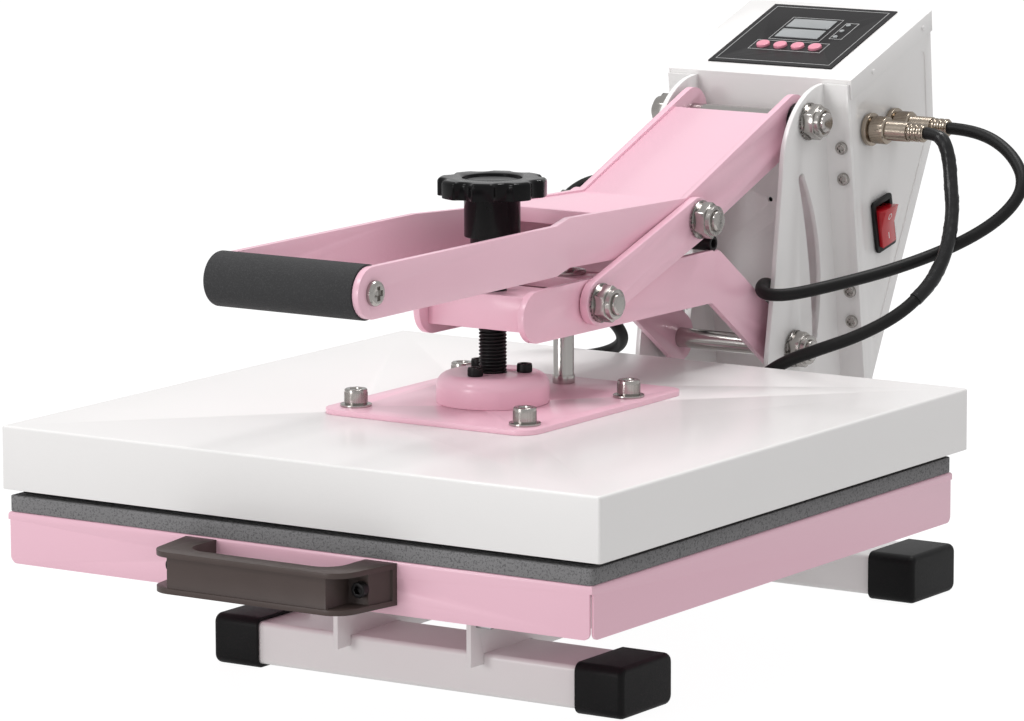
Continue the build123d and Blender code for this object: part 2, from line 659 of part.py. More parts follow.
front_channel = cross_channel((CHANNEL_FRONT, CHANNEL_REAR))
front_channel -= rod_z(0, 0, (CHANNEL_TOP - CHANNEL_SHEET, CHANNEL_TOP), SCREW_RADIUS + HOLE_GAP)
guide_channel = cross_channel((POST_Y - GUIDE_CHANNEL / 2, POST_Y + GUIDE_CHANNEL / 2))
guide_channel -= rod_z(0, POST_Y, (CHANNEL_TOP - CHANNEL_SHEET, CHANNEL_TOP), BUSH_RADIUS + HOLE_GAP)
save("arm_channels", front_channel, guide_channel)

nut_block = rod_z(0, 0, (NUT_BLOCK_UNDER, NUT_BLOCK_TOP), NUT_BLOCK_RADIUS)
nut_block -= rod_z(0, 0, (NUT_BLOCK_UNDER, NUT_BLOCK_TOP), SCREW_RADIUS + RUNNING_GAP)
guide_bush = rod_z(0, POST_Y, (NUT_BLOCK_UNDER, CHANNEL_TOP + BUSH_FLANGE), BUSH_RADIUS)
guide_bush += rod_z(0, POST_Y, (CHANNEL_TOP, CHANNEL_TOP + BUSH_FLANGE), BUSH_FLANGE_RADIUS)
guide_bush -= rod_z(0, POST_Y, (NUT_BLOCK_UNDER, CHANNEL_TOP + BUSH_FLANGE), POST_RADIUS + RUNNING_GAP)

stop_bar_end = ARM_OUTER - STOP_BAR_INSET
stop_bar = rod_x((-stop_bar_end, stop_bar_end), STOP_BAR_Y, stop_bar_z, STOP_BAR_RADIUS)
stop_bar -= rod_x((-stop_bar_end, stop_bar_end), STOP_BAR_Y, stop_bar_z, STOP_BAR_BORE)
save("arm_stop_bar", stop_bar)
foot_face = ARM_OUTER + (LINK_INNER - ARM_OUTER) * LINK_SHARE
link_foot_shaft = rod_x((-foot_face, foot_face), LINK_FOOT_Y, LINK_FOOT_Z, M12_RADIUS)
save("arm_bushes", nut_block, guide_bush, link_foot_shaft)

# Hand lever: flat bars in front, a joggle, and side plates up to the rear pivot
bar_outline = polygon((GRIP_Y, LEVER_UNDER), (JOGGLE_FRONT, LEVER_UNDER),
                      (JOGGLE_FRONT, LEVER_TOP), (GRIP_Y, LEVER_TOP))
bar_outline += disc(GRIP_Y, LEVER_MID, LEVER_NOSE_RADIUS)
bar_inner = BAR_OUTER - LEVER_PLATE
joggle = polygon((bar_inner, JOGGLE_FRONT), (BAR_OUTER, JOGGLE_FRONT),
                 (LEVER_OUTER, JOGGLE_REAR), (LEVER_INNER, JOGGLE_REAR))
rise = atan2(LEVER_PIVOT_Z - (LEVER_BEND_TOP_Z + LEVER_BEND_UNDER_Z) / 2,
             LEVER_PIVOT_Y - (LEVER_BEND_TOP_Y + LEVER_BEND_UNDER_Y) / 2)
end_across = (-sin(rise) * LEVER_END_RADIUS, cos(rise) * LEVER_END_RADIUS)
lever_outline = polygon((JOGGLE_REAR, LEVER_UNDER), (LEVER_BEND_UNDER_Y, LEVER_BEND_UNDER_Z),
                        (LEVER_PIVOT_Y - end_across[0], LEVER_PIVOT_Z - end_across[1]),
                        (LEVER_PIVOT_Y + end_across[0], LEVER_PIVOT_Z + end_across[1]),
                        (LEVER_BEND_TOP_Y, LEVER_BEND_TOP_Z), (JOGGLE_REAR, LEVER_TOP))
lever_outline = round_near(lever_outline, (LEVER_BEND_UNDER_Y, LEVER_BEND_UNDER_Z), LEVER_BEND_ROUND)
lever_outline += disc(LEVER_PIVOT_Y, LEVER_PIVOT_Z, LEVER_END_RADIUS)
lever_outline -= disc(LEVER_PIVOT_Y, LEVER_PIVOT_Z, M12_RADIUS + RUNNING_GAP)
lever_outline -= disc(LINK_TOP_Y, LINK_TOP_Z, M12_RADIUS + RUNNING_GAP)
lever_bar = from_side(bar_outline, (bar_inner, BAR_OUTER))
lever_bar += from_above(joggle, (LEVER_UNDER, LEVER_TOP))
lever_bar += from_side(lever_outline, (LEVER_INNER, LEVER_OUTER))
lever_bar -= rod_x((bar_inner, BAR_OUTER), GRIP_Y, LEVER_MID, M4_RADIUS + HOLE_GAP)
save("lever_bars", lever_bar, flip(lever_bar))

# Web between the lever plates, with a lip in front and the stop tab that meets the arm's bar
web_top = LEVER_TOP - WEB_DROP
web_bend = (LEVER_BEND_TOP_Y, LEVER_BEND_TOP_Z - WEB_DROP)
web_outline = make_face(Polyline((WEB_FRONT, web_top), web_bend, (WEB_REAR, WEB_REAR_Z),
                                 (WEB_REAR, WEB_REAR_Z - WEB_SHEET),
                                 (web_bend[0], web_bend[1] - WEB_SHEET),
                                 (WEB_FRONT + WEB_SHEET, web_top - WEB_SHEET),
                                 (WEB_FRONT + WEB_SHEET, web_top - WEB_LIP),
                                 (WEB_FRONT, web_top - WEB_LIP), close=True))
lever_web = from_side(web_outline, (-LEVER_INNER, LEVER_INNER))
tab_top = web_bend[1] + (STOP_BAR_Y - web_bend[0]) * tan(rise) - WEB_SHEET / 2
lever_web += block((-STOP_TAB_HALF, STOP_TAB_HALF),
                   (STOP_BAR_Y - STOP_TAB_THICK / 2, STOP_BAR_Y + STOP_TAB_THICK / 2),
                   (stop_bar_z + STOP_BAR_RADIUS + SEAT_GAP, tab_top))
save("lever_web", lever_web)

# Grip: steel rod between the bars, foam sleeve that also wraps the left bar's end
grip_rod = rod_x((-bar_inner, bar_inner), GRIP_Y, LEVER_MID, GRIP_ROD_RADIUS)
grip_rod -= rod_x((bar_inner - M4_REACH - 1, bar_inner), GRIP_Y, LEVER_MID, M4_RADIUS + HOLE_GAP)
grip_left = -BAR_OUTER - GRIP_OVERHANG
grip = rod_x((grip_left, bar_inner - SHEET_GAP), GRIP_Y, LEVER_MID, GRIP_RADIUS)
grip = fillet(grip.edges().group_by(Axis.X)[0], GRIP_OVERHANG * 0.8)
grip -= rod_x((-bar_inner, bar_inner), GRIP_Y, LEVER_MID, GRIP_ROD_RADIUS + RUNNING_GAP)
grip -= from_side(offset(bar_outline, HOLE_GAP), (-BAR_OUTER - HOLE_GAP, -bar_inner + HOLE_GAP))
save("grip", grip)
grip_screw = Pos(BAR_OUTER, GRIP_Y, LEVER_MID) * Rot(0, 90, 0) * pan_screw(
    M4_RADIUS, LEVER_PLATE + M4_REACH, PAN_HEAD_RADIUS, PAN_HEAD)
save("grip_rod", grip_rod, grip_screw)

# Link bars with their upper shaft, and the outer halves of their lower bolts
link_angle = degrees(atan2(LINK_TOP_Z - LINK_FOOT_Z, LINK_TOP_Y - LINK_FOOT_Y))
link_length = hypot(LINK_TOP_Z - LINK_FOOT_Z, LINK_TOP_Y - LINK_FOOT_Y)
link_outline = Pos(LINK_FOOT_Y, LINK_FOOT_Z) * Rot(0, 0, link_angle) * (
    Pos(link_length / 2, 0) * Rectangle(link_length, 2 * LINK_RADIUS)
    + Circle(LINK_RADIUS) + Pos(link_length, 0) * Circle(LINK_RADIUS))
link_outline -= disc(LINK_FOOT_Y, LINK_FOOT_Z, M12_RADIUS + RUNNING_GAP)
link_outline -= disc(LINK_TOP_Y, LINK_TOP_Z, M12_RADIUS + RUNNING_GAP)
link_bar = from_side(link_outline, (LINK_INNER, LINK_OUTER))
save("link_bars", link_bar, flip(link_bar))


def bolt_stack(face):
    washer = (face, face + TOOTHED_THICK)
    nut = (washer[1], washer[1] + NUT_HEIGHT)
    return washer, nut, nut[1] + BOLT_TIP


link_washer, link_nut, link_tip = bolt_stack(LINK_OUTER)
top_shaft = rod_x((-link_tip, link_tip), LINK_TOP_Y, LINK_TOP_Z, M12_RADIUS)
foot_bolt = rod_x((LINK_INNER, link_tip), LINK_FOOT_Y, LINK_FOOT_Z, M12_RADIUS)
top_shaft = chamfer(top_shaft.edges().filter_by(GeomType.CIRCLE), 1.0)
foot_bolt = chamfer(foot_bolt.edges().group_by(Axis.X)[-1], 1.0)
save("link_bolts", top_shaft, foot_bolt, flip(foot_bolt))
link_places = [(LINK_TOP_Y, LINK_TOP_Z), (LINK_FOOT_Y, LINK_FOOT_Z)]
link_washers = [toothed_washer(y, z, link_washer) for y, z in link_places]
link_nuts = [lock_nut(y, z, link_nut) for y, z in link_places]
link_hardware = link_washers + link_nuts
save("link_nuts", *link_hardware, *[flip(piece) for piece in link_hardware])


# Stand: rail, upright and flange of each side are one folded plate
def lean_y(z):
    return BOX_FRONT_TOP_Y + (BOX_FRONT_TOP_Z - z) * BOX_LEAN


stand_outline = polygon(
    (RAIL_FRONT, RAIL_UNDER), (lean_y(RAIL_UNDER) - STAND_PLATE, RAIL_UNDER),
    (lean_y(STAND_HEAD_Z) - STAND_PLATE, STAND_HEAD_Z),
    (STAND_HEAD_Y - STAND_HEAD_RADIUS, STAND_HEAD_Z), (STAND_FRONT_MID_Y, STAND_FRONT_MID_Z),
    (STAND_FRONT_LOW_Y, STAND_FRONT_LOW_Z), (STAND_HEEL_Y, RAIL_TOP), (RAIL_FRONT, RAIL_TOP))
stand_outline = round_near(stand_outline, (STAND_HEEL_Y, RAIL_TOP), HEEL_ROUND)
stand_outline = round_near(stand_outline, (RAIL_FRONT, RAIL_TOP), RAIL_ROUND)
head = disc(STAND_HEAD_Y, STAND_HEAD_Z, STAND_HEAD_RADIUS)
head_top = STAND_HEAD_Z + STAND_HEAD_RADIUS
head_front = STAND_HEAD_Y - STAND_HEAD_RADIUS
head &= polygon((head_front, STAND_HEAD_Z), (lean_y(STAND_HEAD_Z) - STAND_PLATE, STAND_HEAD_Z),
                (lean_y(head_top) - STAND_PLATE, head_top), (head_front, head_top))
stand_outline += head
front_notch = (FRONT_FOOT_Y - TUBE_WIDTH / 2 - HOLE_GAP, FRONT_FOOT_Y + TUBE_WIDTH / 2 + HOLE_GAP)
rear_notch = (REAR_FOOT_Y - TUBE_WIDTH / 2 - HOLE_GAP, REAR_FOOT_Y + TUBE_WIDTH)
for notch in (front_notch, rear_notch):
    stand_outline -= polygon((notch[0], 0), (notch[1], 0), (notch[1], TUBE_TOP), (notch[0], TUBE_TOP))
leaf_slot = make_face([ThreePointArc(*LEAF_FRONT), ThreePointArc(LEAF_FRONT[2], LEAF_FOOT, LEAF_REAR[0]),
                       ThreePointArc(*LEAF_REAR), ThreePointArc(LEAF_REAR[2], LEAF_HEAD, LEAF_FRONT[0])])
stand_outline -= leaf_slot
for y, z in ((LEVER_PIVOT_Y, LEVER_PIVOT_Z), (ARM_PIVOT_Y, ARM_PIVOT_Z)):
    stand_outline -= disc(y, z, M12_RADIUS + RUNNING_GAP)
stand_plate = from_side(stand_outline, (STAND_INNER, STAND_OUTER))
flange_top = STAND_HEAD_Z + STAND_HEAD_RADIUS
flange_outline = polygon((lean_y(flange_top), flange_top), (lean_y(flange_top) - STAND_PLATE, flange_top),
                         (lean_y(BOX_FOOT_Z) - STAND_PLATE, BOX_FOOT_Z), (lean_y(BOX_FOOT_Z), BOX_FOOT_Z))
flange = from_side(flange_outline, (STAND_INNER, STAND_FLANGE_OUTER))
stand_plate += flange


def on_box_front(x, z):
    # Frame on the box front: local Z points forwards, out of the sheet
    normal = (0, -cos(radians(LEAN_ANGLE)), -sin(radians(LEAN_ANGLE)))
    return Plane(origin=(x, lean_y(z), z), x_dir=(1, 0, 0), z_dir=normal)


flange_screws = []
for height in FLANGE_SCREW_HEIGHTS:
    place = on_box_front(FLANGE_SCREW_X, height).location
    stand_plate -= place * rod_z(0, 0, (0, STAND_PLATE), M4_RADIUS + HOLE_GAP)
    screw = pan_screw(M4_RADIUS, M4_REACH, M4_HEAD_RADIUS, M4_HEAD)
    flange_screws.append(place * Pos(0, 0, STAND_PLATE) * screw)
rivet_y = (SLIDE_FRONT + SLIDE_RIVET_INSET, SLIDE_FRONT + SLIDE_LENGTH - SLIDE_RIVET_INSET)
rivet_z = (SLIDE_TOP + SLIDE_UNDER) / 2
for y in rivet_y:
    stand_plate -= rod_x((STAND_INNER, STAND_OUTER), y, rivet_z, SLIDE_RIVET_RADIUS + RUNNING_GAP)
save("stand_plate_right", stand_plate)
save("stand_plate_left", flip(stand_plate))
save("flange_screws", *flange_screws, *[flip(screw) for screw in flange_screws])

# Pivot shafts of the stand with their washers, nuts and spacers
stand_washer, stand_nut, stand_tip = bolt_stack(STAND_OUTER)
pivots = [(LEVER_PIVOT_Y, LEVER_PIVOT_Z, LEVER_OUTER), (ARM_PIVOT_Y, ARM_PIVOT_Z, ARM_OUTER)]
shafts = []
stand_hardware = []
spacers = []
for y, z, outer in pivots:
    shaft = rod_x((-stand_tip, stand_tip), y, z, M12_RADIUS)
    shafts.append(chamfer(shaft.edges().filter_by(GeomType.CIRCLE), 1.0))
    stand_hardware.append(toothed_washer(y, z, stand_washer))
    stand_hardware.append(lock_nut(y, z, stand_nut))
    reach = (outer + SHEET_GAP, STAND_INNER)
    spacers.append(rod_x(reach, y, z, SPACER_RADIUS) - rod_x(reach, y, z, M12_RADIUS + RUNNING_GAP))
save("pivot_shafts", *shafts)
save("pivot_nuts", *stand_hardware, *[flip(piece) for piece in stand_hardware])
save("pivot_spacers", *spacers, *[flip(ring) for ring in spacers])


# Feet: square tubes with caps that slip over their ends
def foot(y, half):
    width = (y - TUBE_WIDTH / 2, y + TUBE_WIDTH / 2)
    height = (CAP_WALL, TUBE_TOP)
    tube = block((-half + CAP_END, half - CAP_END), width, height)
    tube = fillet(tube.edges().filter_by(Axis.X), TUBE_ROUND)
    inside = block((-half, half), (width[0] + TUBE_WALL, width[1] - TUBE_WALL),
                   (height[0] + TUBE_WALL, height[1] - TUBE_WALL))
    cap = block((half - CAP_LENGTH, half), (width[0] - CAP_WALL, width[1] + CAP_WALL),
                (0, TUBE_TOP + CAP_WALL))
    cap = fillet(cap.edges().filter_by(Axis.X), TUBE_ROUND + CAP_WALL)
    cap = fillet(cap.edges().group_by(Axis.X)[-1], CAP_END)
    socket = block((half - CAP_LENGTH, half - CAP_END + RUNNING_GAP),
                   (width[0] - RUNNING_GAP, width[1] + RUNNING_GAP),
                   (height[0] - RUNNING_GAP, height[1] + RUNNING_GAP))
    cap -= fillet(socket.edges().filter_by(Axis.X), TUBE_ROUND + RUNNING_GAP)
    return tube - inside, cap


front_tube, front_cap = foot(FRONT_FOOT_Y, FRONT_FOOT_HALF)
rear_tube, rear_cap = foot(REAR_FOOT_Y, REAR_FOOT_HALF)
save("foot_tubes", front_tube, rear_tube)
save("foot_caps", front_cap, flip(front_cap), rear_cap, flip(rear_cap))
brace = block((-STAND_INNER, STAND_INNER), (BRACE_FRONT, BRACE_REAR), (BRACE_UNDER, BRACE_TOP))
brace -= block((-STAND_INNER, STAND_INNER), (BRACE_FRONT + BRACE_SHEET, BRACE_REAR - BRACE_SHEET),
               (BRACE_UNDER, BRACE_TOP - BRACE_SHEET))
save("cross_brace", brace)

# Control box: folded shell, side panels and lid
box_corners = [(lean_y(BOX_FOOT_Z), BOX_FOOT_Z), (lean_y(BOX_FOOT_Z) + BOX_FOOT_DEPTH, BOX_FOOT_Z),
               (BOX_REAR_Y, BOX_REAR_Z), (BOX_REAR_TOP_Y, BOX_REAR_TOP_Z), (BOX_FRONT_TOP_Y, BOX_FRONT_TOP_Z)]
box_outline = polygon(*box_corners)
box_inside = offset(box_outline, -BOX_SHEET, kind=Kind.INTERSECTION)
panel_x = BOX_HALF - BOX_SIDE
lid_frame = Plane(origin=(0, BOX_FRONT_TOP_Y, BOX_FRONT_TOP_Z), x_dir=(1, 0, 0),
                  z_dir=(0, -sin(radians(LID_ANGLE)), cos(radians(LID_ANGLE)))).location
box_shell = from_side(box_outline, (-panel_x, panel_x)) - from_side(box_inside, (-panel_x, panel_x))
lid_strip = lid_frame * block((-BOX_HALF, BOX_HALF), (-LID_LENGTH, 2 * LID_LENGTH), (-LID_SHEET, LID_LENGTH))
box_shell -= lid_strip
for height in FLANGE_SCREW_HEIGHTS:
    for side in (-FLANGE_SCREW_X, FLANGE_SCREW_X):
        box_shell -= on_box_front(side, height).location * rod_z(0, 0, (-M4_REACH, 0), M4_RADIUS + HOLE_GAP)
for side in BOX_HOLE_X:
    box_shell -= on_box_front(side, BOX_HOLE_Z).location * rod_z(0, 0, (-M4_REACH, 0), BOX_HOLE_RADIUS)

box_lid = from_side(box_outline, (-BOX_HALF, BOX_HALF)) & lid_strip
lip = from_side(box_outline, (BOX_HALF, BOX_HALF + LID_SHEET))
lip &= lid_frame * block((0, 2 * BOX_HALF), (-LID_LENGTH, 2 * LID_LENGTH), (-LID_LIP, LID_LENGTH))
box_lid += lip
box_lid += flip(lip)

side_panel = from_side(box_outline, (panel_x, BOX_HALF)) - lid_strip
emboss_outline = offset(box_outline, -BOX_BORDER, kind=Kind.INTERSECTION)
emboss = from_side(emboss_outline, (BOX_HALF - BOX_EMBOSS, BOX_HALF))
emboss &= lid_frame * block((0, 2 * BOX_HALF), (-LID_LENGTH, 2 * LID_LENGTH),
                            (-2 * LID_LENGTH, -LID_LIP - BOX_BORDER))
side_panel -= fillet(emboss.edges().filter_by(Axis.X), BOX_BORDER / 2)
save("box_side_left", flip(side_panel))

lid_rivets = []
for share in RIVET_PLACES:
    place = lid_frame * Pos(BOX_HALF + LID_SHEET, LID_LENGTH * share, -LID_LIP / 2) * Rot(0, 90, 0)
    rivet = fillet(rod_z(0, 0, (0, RIVET_HEAD), RIVET_RADIUS).edges().group_by(Axis.Z)[-1], RIVET_HEAD * 0.7)
    lid_rivets.append(place * rivet)

# Panel on the lid: overlay, display windows, lamps and keys
overlay = lid_frame * block((-OVERLAY_HALF, OVERLAY_HALF), (OVERLAY_FRONT, OVERLAY_FRONT + OVERLAY_LENGTH),
                            (0, OVERLAY_THICK))
window_blocks = [lid_frame * block((WINDOW_LEFT, WINDOW_RIGHT), (front, front + WINDOW_HEIGHT),
                                   (OVERLAY_THICK, OVERLAY_THICK + WINDOW_THICK)) for front in WINDOW_FROM_FRONT]
lamps = [lid_frame * rod_z(LAMP_X, front, (OVERLAY_THICK, OVERLAY_THICK + WINDOW_THICK), LAMP_RADIUS)
         for front in LAMP_FROM_FRONT]
key_top = OVERLAY_THICK + KEY_RISE
key_flange_top = -LID_SHEET - SEAT_GAP
for index, x in enumerate(KEY_X, start=1):
    passage = lid_frame * rod_z(x, KEY_FROM_FRONT, (-LID_SHEET, OVERLAY_THICK), KEY_RADIUS + SEAT_GAP)
    overlay -= passage
    box_lid -= passage
    key = fillet(rod_z(x, KEY_FROM_FRONT, (key_flange_top, key_top), KEY_RADIUS).edges().group_by(Axis.Z)[-1], 0.8)
    key += rod_z(x, KEY_FROM_FRONT, (key_flange_top - KEY_FLANGE, key_flange_top), KEY_FLANGE_RADIUS)
    save(f"key_{index}", lid_frame * key)
save("panel_overlay", overlay)
save("display_windows", *window_blocks, *lamps)

board_top = -LID_SHEET - BOARD_DROP
board_front = OVERLAY_FRONT + 4
display_board = lid_frame * block((-BOARD_HALF, BOARD_HALF), (board_front, board_front + BOARD_LENGTH),
                                  (board_top - BOARD_THICK, board_top))
posts = []
for x in (-BOARD_HALF + 6, BOARD_HALF - 6):
    for y in (board_front + 6, board_front + BOARD_LENGTH - 6):
        posts.append(lid_frame * rod_z(x, y, (board_top, -LID_SHEET), BOARD_POST_RADIUS))
switch_top = key_flange_top - KEY_FLANGE - KEY_TRAVEL - RUNNING_GAP
key_switches = [lid_frame * block((x - KEY_SWITCH / 2, x + KEY_SWITCH / 2),
                                  (KEY_FROM_FRONT - KEY_SWITCH / 2, KEY_FROM_FRONT + KEY_SWITCH / 2),
                                  (board_top, switch_top)) for x in KEY_X]
save("display_board", display_board, *posts, *key_switches)
save("box_lid", box_lid, *lid_rivets, *[flip(rivet) for rivet in lid_rivets])
relay = on_box_front(0, RELAY_Z).location * block(
    (-RELAY_WIDTH / 2, RELAY_WIDTH / 2), (-RELAY_HEIGHT / 2, RELAY_HEIGHT / 2),
    (-BOX_SHEET - RELAY_DEPTH, -BOX_SHEET))
save("relay_module", relay)

# Rocker switch: local X is across the switch, local Y along it, local Z out of the panel
tilt = radians(ROCKER_TILT)
rocker_plane = Plane(origin=(BOX_HALF, ROCKER_Y, ROCKER_Z), x_dir=(0, cos(tilt), sin(tilt)), z_dir=(1, 0, 0))
rocker_frame = rocker_plane.location
well = (ROCKER_WIDTH / 2 + SEAT_GAP, ROCKER_LENGTH / 2 + SEAT_GAP)
bezel = block((-ROCKER_BEZEL_WIDTH / 2, ROCKER_BEZEL_WIDTH / 2),
              (-ROCKER_BEZEL_LENGTH / 2, ROCKER_BEZEL_LENGTH / 2), (0, ROCKER_BEZEL_RISE))
bezel = fillet(bezel.edges().filter_by(Axis.Z), ROCKER_BEZEL_ROUND)
case_half = (well[0] + ROCKER_CASE, well[1] + ROCKER_CASE)
case = block((-case_half[0], case_half[0]), (-case_half[1], case_half[1]), (-ROCKER_BODY_DEPTH, 0))
rocker_well = block((-well[0], well[0]), (-well[1], well[1]),
                    (ROCKER_CASE - ROCKER_BODY_DEPTH, ROCKER_BEZEL_RISE))
rocker_axis = Pos(0, 0, -ROCKER_PIVOT_DEPTH)
pin_length = 2 * well[0] + ROCKER_CASE
switch_housing = rocker_frame * (bezel + case - rocker_well)
trunnion = Rot(0, 90, 0) * Cylinder(ROCKER_PIN_RADIUS, pin_length)
pin_bore = Cylinder(ROCKER_PIN_RADIUS + RUNNING_GAP, pin_length + HOLE_GAP)
switch_housing -= rocker_frame * rocker_axis * Rot(0, 90, 0) * pin_bore
half_width = ROCKER_WIDTH / 2
half_throw = radians(ROCKER_THROW / 2)
half_length = ROCKER_LENGTH / 2 - ROCKER_END_GAP
mid_rise = ROCKER_BEZEL_RISE + ROCKER_RISE + ROCKER_PIVOT_DEPTH
end_rise = mid_rise + half_length * tan(half_throw)
rocker_side = polygon((-half_length, end_rise), (0, mid_rise), (half_length, end_rise),
                      (half_length - ROCKER_TAPER, -ROCKER_FOOT), (ROCKER_TAPER - half_length, -ROCKER_FOOT))
rocker_body = extrude(Plane(origin=(-half_width, 0, 0), x_dir=(0, 1, 0), z_dir=(1, 0, 0)) * rocker_side,
                      amount=ROCKER_WIDTH)
rocker_body += trunnion
rocker = rocker_frame * rocker_axis * Rot(ROCKER_THROW / 2, 0, 0) * rocker_body
save("switch_housing", switch_housing)
save("switch_rocker", rocker)
hole_half = (case_half[0] + HOLE_GAP, case_half[1] + HOLE_GAP)
panel_hole = rocker_frame * block((-hole_half[0], hole_half[0]), (-hole_half[1], hole_half[1]),
                                  (-ROCKER_BODY_DEPTH, 0))

# Sockets and screw-on plugs of the two leads
sockets = []
plugs = []
socket_end = BOX_HALF + SOCKET_REACH
nut_end = BOX_HALF + SOCKET_NUT
ring_start = nut_end + SEAT_GAP
body_start = ring_start + PLUG_RING
clamp_start = body_start + PLUG_BODY
tail_end = clamp_start + PLUG_CLAMP
ridge = PLUG_CLAMP / 6
right_panel = side_panel - panel_hole
for y in (PLUG_FRONT_Y, PLUG_REAR_Y):
    socket = rod_x((BOX_HALF - SOCKET_BEHIND, socket_end), y, PLUG_Z, SOCKET_RADIUS)
    socket += rod_x((BOX_HALF, nut_end), y, PLUG_Z, SOCKET_NUT_RADIUS)
    sockets.append(socket)
    right_panel -= rod_x((panel_x, BOX_HALF), y, PLUG_Z, SOCKET_RADIUS + HOLE_GAP)
    plug = rod_x((ring_start, body_start), y, PLUG_Z, PLUG_RING_RADIUS)
    plug = chamfer(plug.edges().filter_by(GeomType.CIRCLE), PLUG_EDGE)
    plug += rod_x((body_start, clamp_start), y, PLUG_Z, PLUG_BODY_RADIUS)
    plug += rod_x((clamp_start, tail_end), y, PLUG_Z, PLUG_CLAMP_RADIUS - PLUG_EDGE)
    for turn in range(3):
        start = clamp_start + ridge * (2 * turn + 0.5)
        plug += rod_x((start, start + ridge), y, PLUG_Z, PLUG_CLAMP_RADIUS)
    plug -= rod_x((ring_start, socket_end + SEAT_GAP), y, PLUG_Z, SOCKET_RADIUS + RUNNING_GAP)
    plugs.append(plug)
save("box_side_right", right_panel)
save("lead_sockets", *sockets)
save("lead_plugs", *plugs)

# Mains inlet in the rear wall of the box
rear_normal = (0, cos(radians(REAR_LEAN)), sin(radians(REAR_LEAN)))
inlet_frame = Plane(origin=(0, INLET_Y, INLET_Z), x_dir=(-1, 0, 0), z_dir=rear_normal).location
inlet_flange = block((-INLET_WIDTH / 2, INLET_WIDTH / 2), (-INLET_HEIGHT / 2, INLET_HEIGHT / 2),
                     (0, INLET_RISE))
inlet_flange = fillet(inlet_flange.edges().filter_by(Axis.Z), INLET_ROUND)


def inlet_block(half, depth, gap=0.0):
    return block((-half[0] - gap, half[0] + gap), (-half[1] - gap, half[1] + gap), depth)


inlet = inlet_flange + inlet_block(INLET_CORE_HALF, (-INLET_BODY, 0))
inlet -= inlet_block(INLET_RECESS_HALF, (INLET_FLOOR - INLET_BODY, INLET_RISE))
for x, y in INLET_PINS:
    inlet += Pos(x, y, 0) * inlet_block(INLET_PIN_HALF, (-INLET_BODY, INLET_PIN_TIP - INLET_BODY))
save("power_inlet", inlet_frame * inlet)
box_shell -= inlet_frame * inlet_block(INLET_CORE_HALF, (-INLET_BODY, 0), HOLE_GAP)
save("box_shell", box_shell)

# Drawer: folded pan with open underside
pan_half = PAN_SIZE / 2
pan_y = (PAN_FRONT, PAN_FRONT + PAN_SIZE)
pan_z = (PAN_TOP - PAN_DEPTH, PAN_TOP)
pan = block((-pan_half, pan_half), pan_y, pan_z)
pan = fillet(pan.edges().group_by(Axis.Z)[-1], PAN_BEND)
hollow = pan_half - PAN_SHEET
pan -= block((-hollow, hollow), (pan_y[0] + PAN_SHEET, pan_y[1] - PAN_SHEET), (pan_z[0], PAN_TOP - PAN_SHEET))
flange_half = pan_half - PAN_SLIT
flange_face = polygon((-flange_half, pan_z[0]), (flange_half, pan_z[0]),
                      (flange_half, PAN_TOP), (-flange_half, PAN_TOP))
for corner in ((-flange_half, pan_z[0]), (flange_half, pan_z[0])):
    flange_face = round_near(flange_face, corner, PAN_CORNER)
front_frame = Plane(origin=(0, PAN_FRONT, 0), x_dir=(1, 0, 0), z_dir=(0, -1, 0))
flange_gap = block((-pan_half, pan_half), (PAN_FRONT, PAN_FRONT + PAN_SHEET),
                   (pan_z[0], PAN_TOP - PAN_SLIT_STOP))
flange_gap -= extrude(front_frame * flange_face, amount=-PAN_SHEET)
for quarter in range(4):
    pan -= Pos(0, DRAWER_OFFSET, 0) * Rot(0, 0, 90 * quarter) * Pos(0, -DRAWER_OFFSET, 0) * flange_gap
for x in (-PULL_SCREW_X, PULL_SCREW_X):
    pan -= rod_y(x, (PAN_FRONT, PAN_FRONT + PAN_SHEET), (PULL_TOP + PULL_UNDER) / 2, M5_RADIUS + HOLE_GAP)
save("drawer_pan", pan)
pad_half = pan_half - PAD_INSET
pad = block((-pad_half, pad_half), (DRAWER_OFFSET - pad_half, DRAWER_OFFSET + pad_half),
            (PAN_TOP, PAN_TOP + PAD_THICK))
save("silicone_pad", fillet(pad.edges().filter_by(Axis.Z), PAD_ROUND))

# Pull handle: a bow with a web in front, open pockets in both legs and a finger gap
pull_plan = polygon((-PULL_FOOT_HALF, PAN_FRONT), (PULL_FOOT_HALF, PAN_FRONT),
                    (PULL_FRONT_HALF, PULL_FRONT), (-PULL_FRONT_HALF, PULL_FRONT))
for x in (-PULL_FRONT_HALF, PULL_FRONT_HALF):
    pull_plan = round_near(pull_plan, (x, PULL_FRONT), PULL_CORNER)
web_plan = offset(pull_plan, -PULL_RECESS)
web_z = (PULL_UNDER + PULL_FLANGE, PULL_TOP - PULL_FLANGE)
groove = from_above(pull_plan, web_z) - from_above(web_plan, web_z)
groove &= block((-PULL_FOOT_HALF, PULL_FOOT_HALF), (PULL_FRONT, PAN_FRONT - 2 * PULL_RECESS), web_z)
gap_plan = polygon((-PULL_GAP_HALF, PAN_FRONT), (PULL_GAP_HALF, PAN_FRONT),
                   (PULL_GAP_HALF, PULL_FRONT + PULL_BAR), (-PULL_GAP_HALF, PULL_FRONT + PULL_BAR))
for x in (-PULL_GAP_HALF, PULL_GAP_HALF):
    gap_plan = round_near(gap_plan, (x, PULL_FRONT + PULL_BAR), PULL_GAP_CORNER)
pull = from_above(pull_plan, (PULL_UNDER, PULL_TOP)) - groove
pull -= from_above(gap_plan, (PULL_UNDER, PULL_TOP))
pull_screw_z = (PULL_TOP + PULL_UNDER) / 2
foot_wall = PAN_FRONT - PULL_FOOT_DEPTH
pull_screws = []
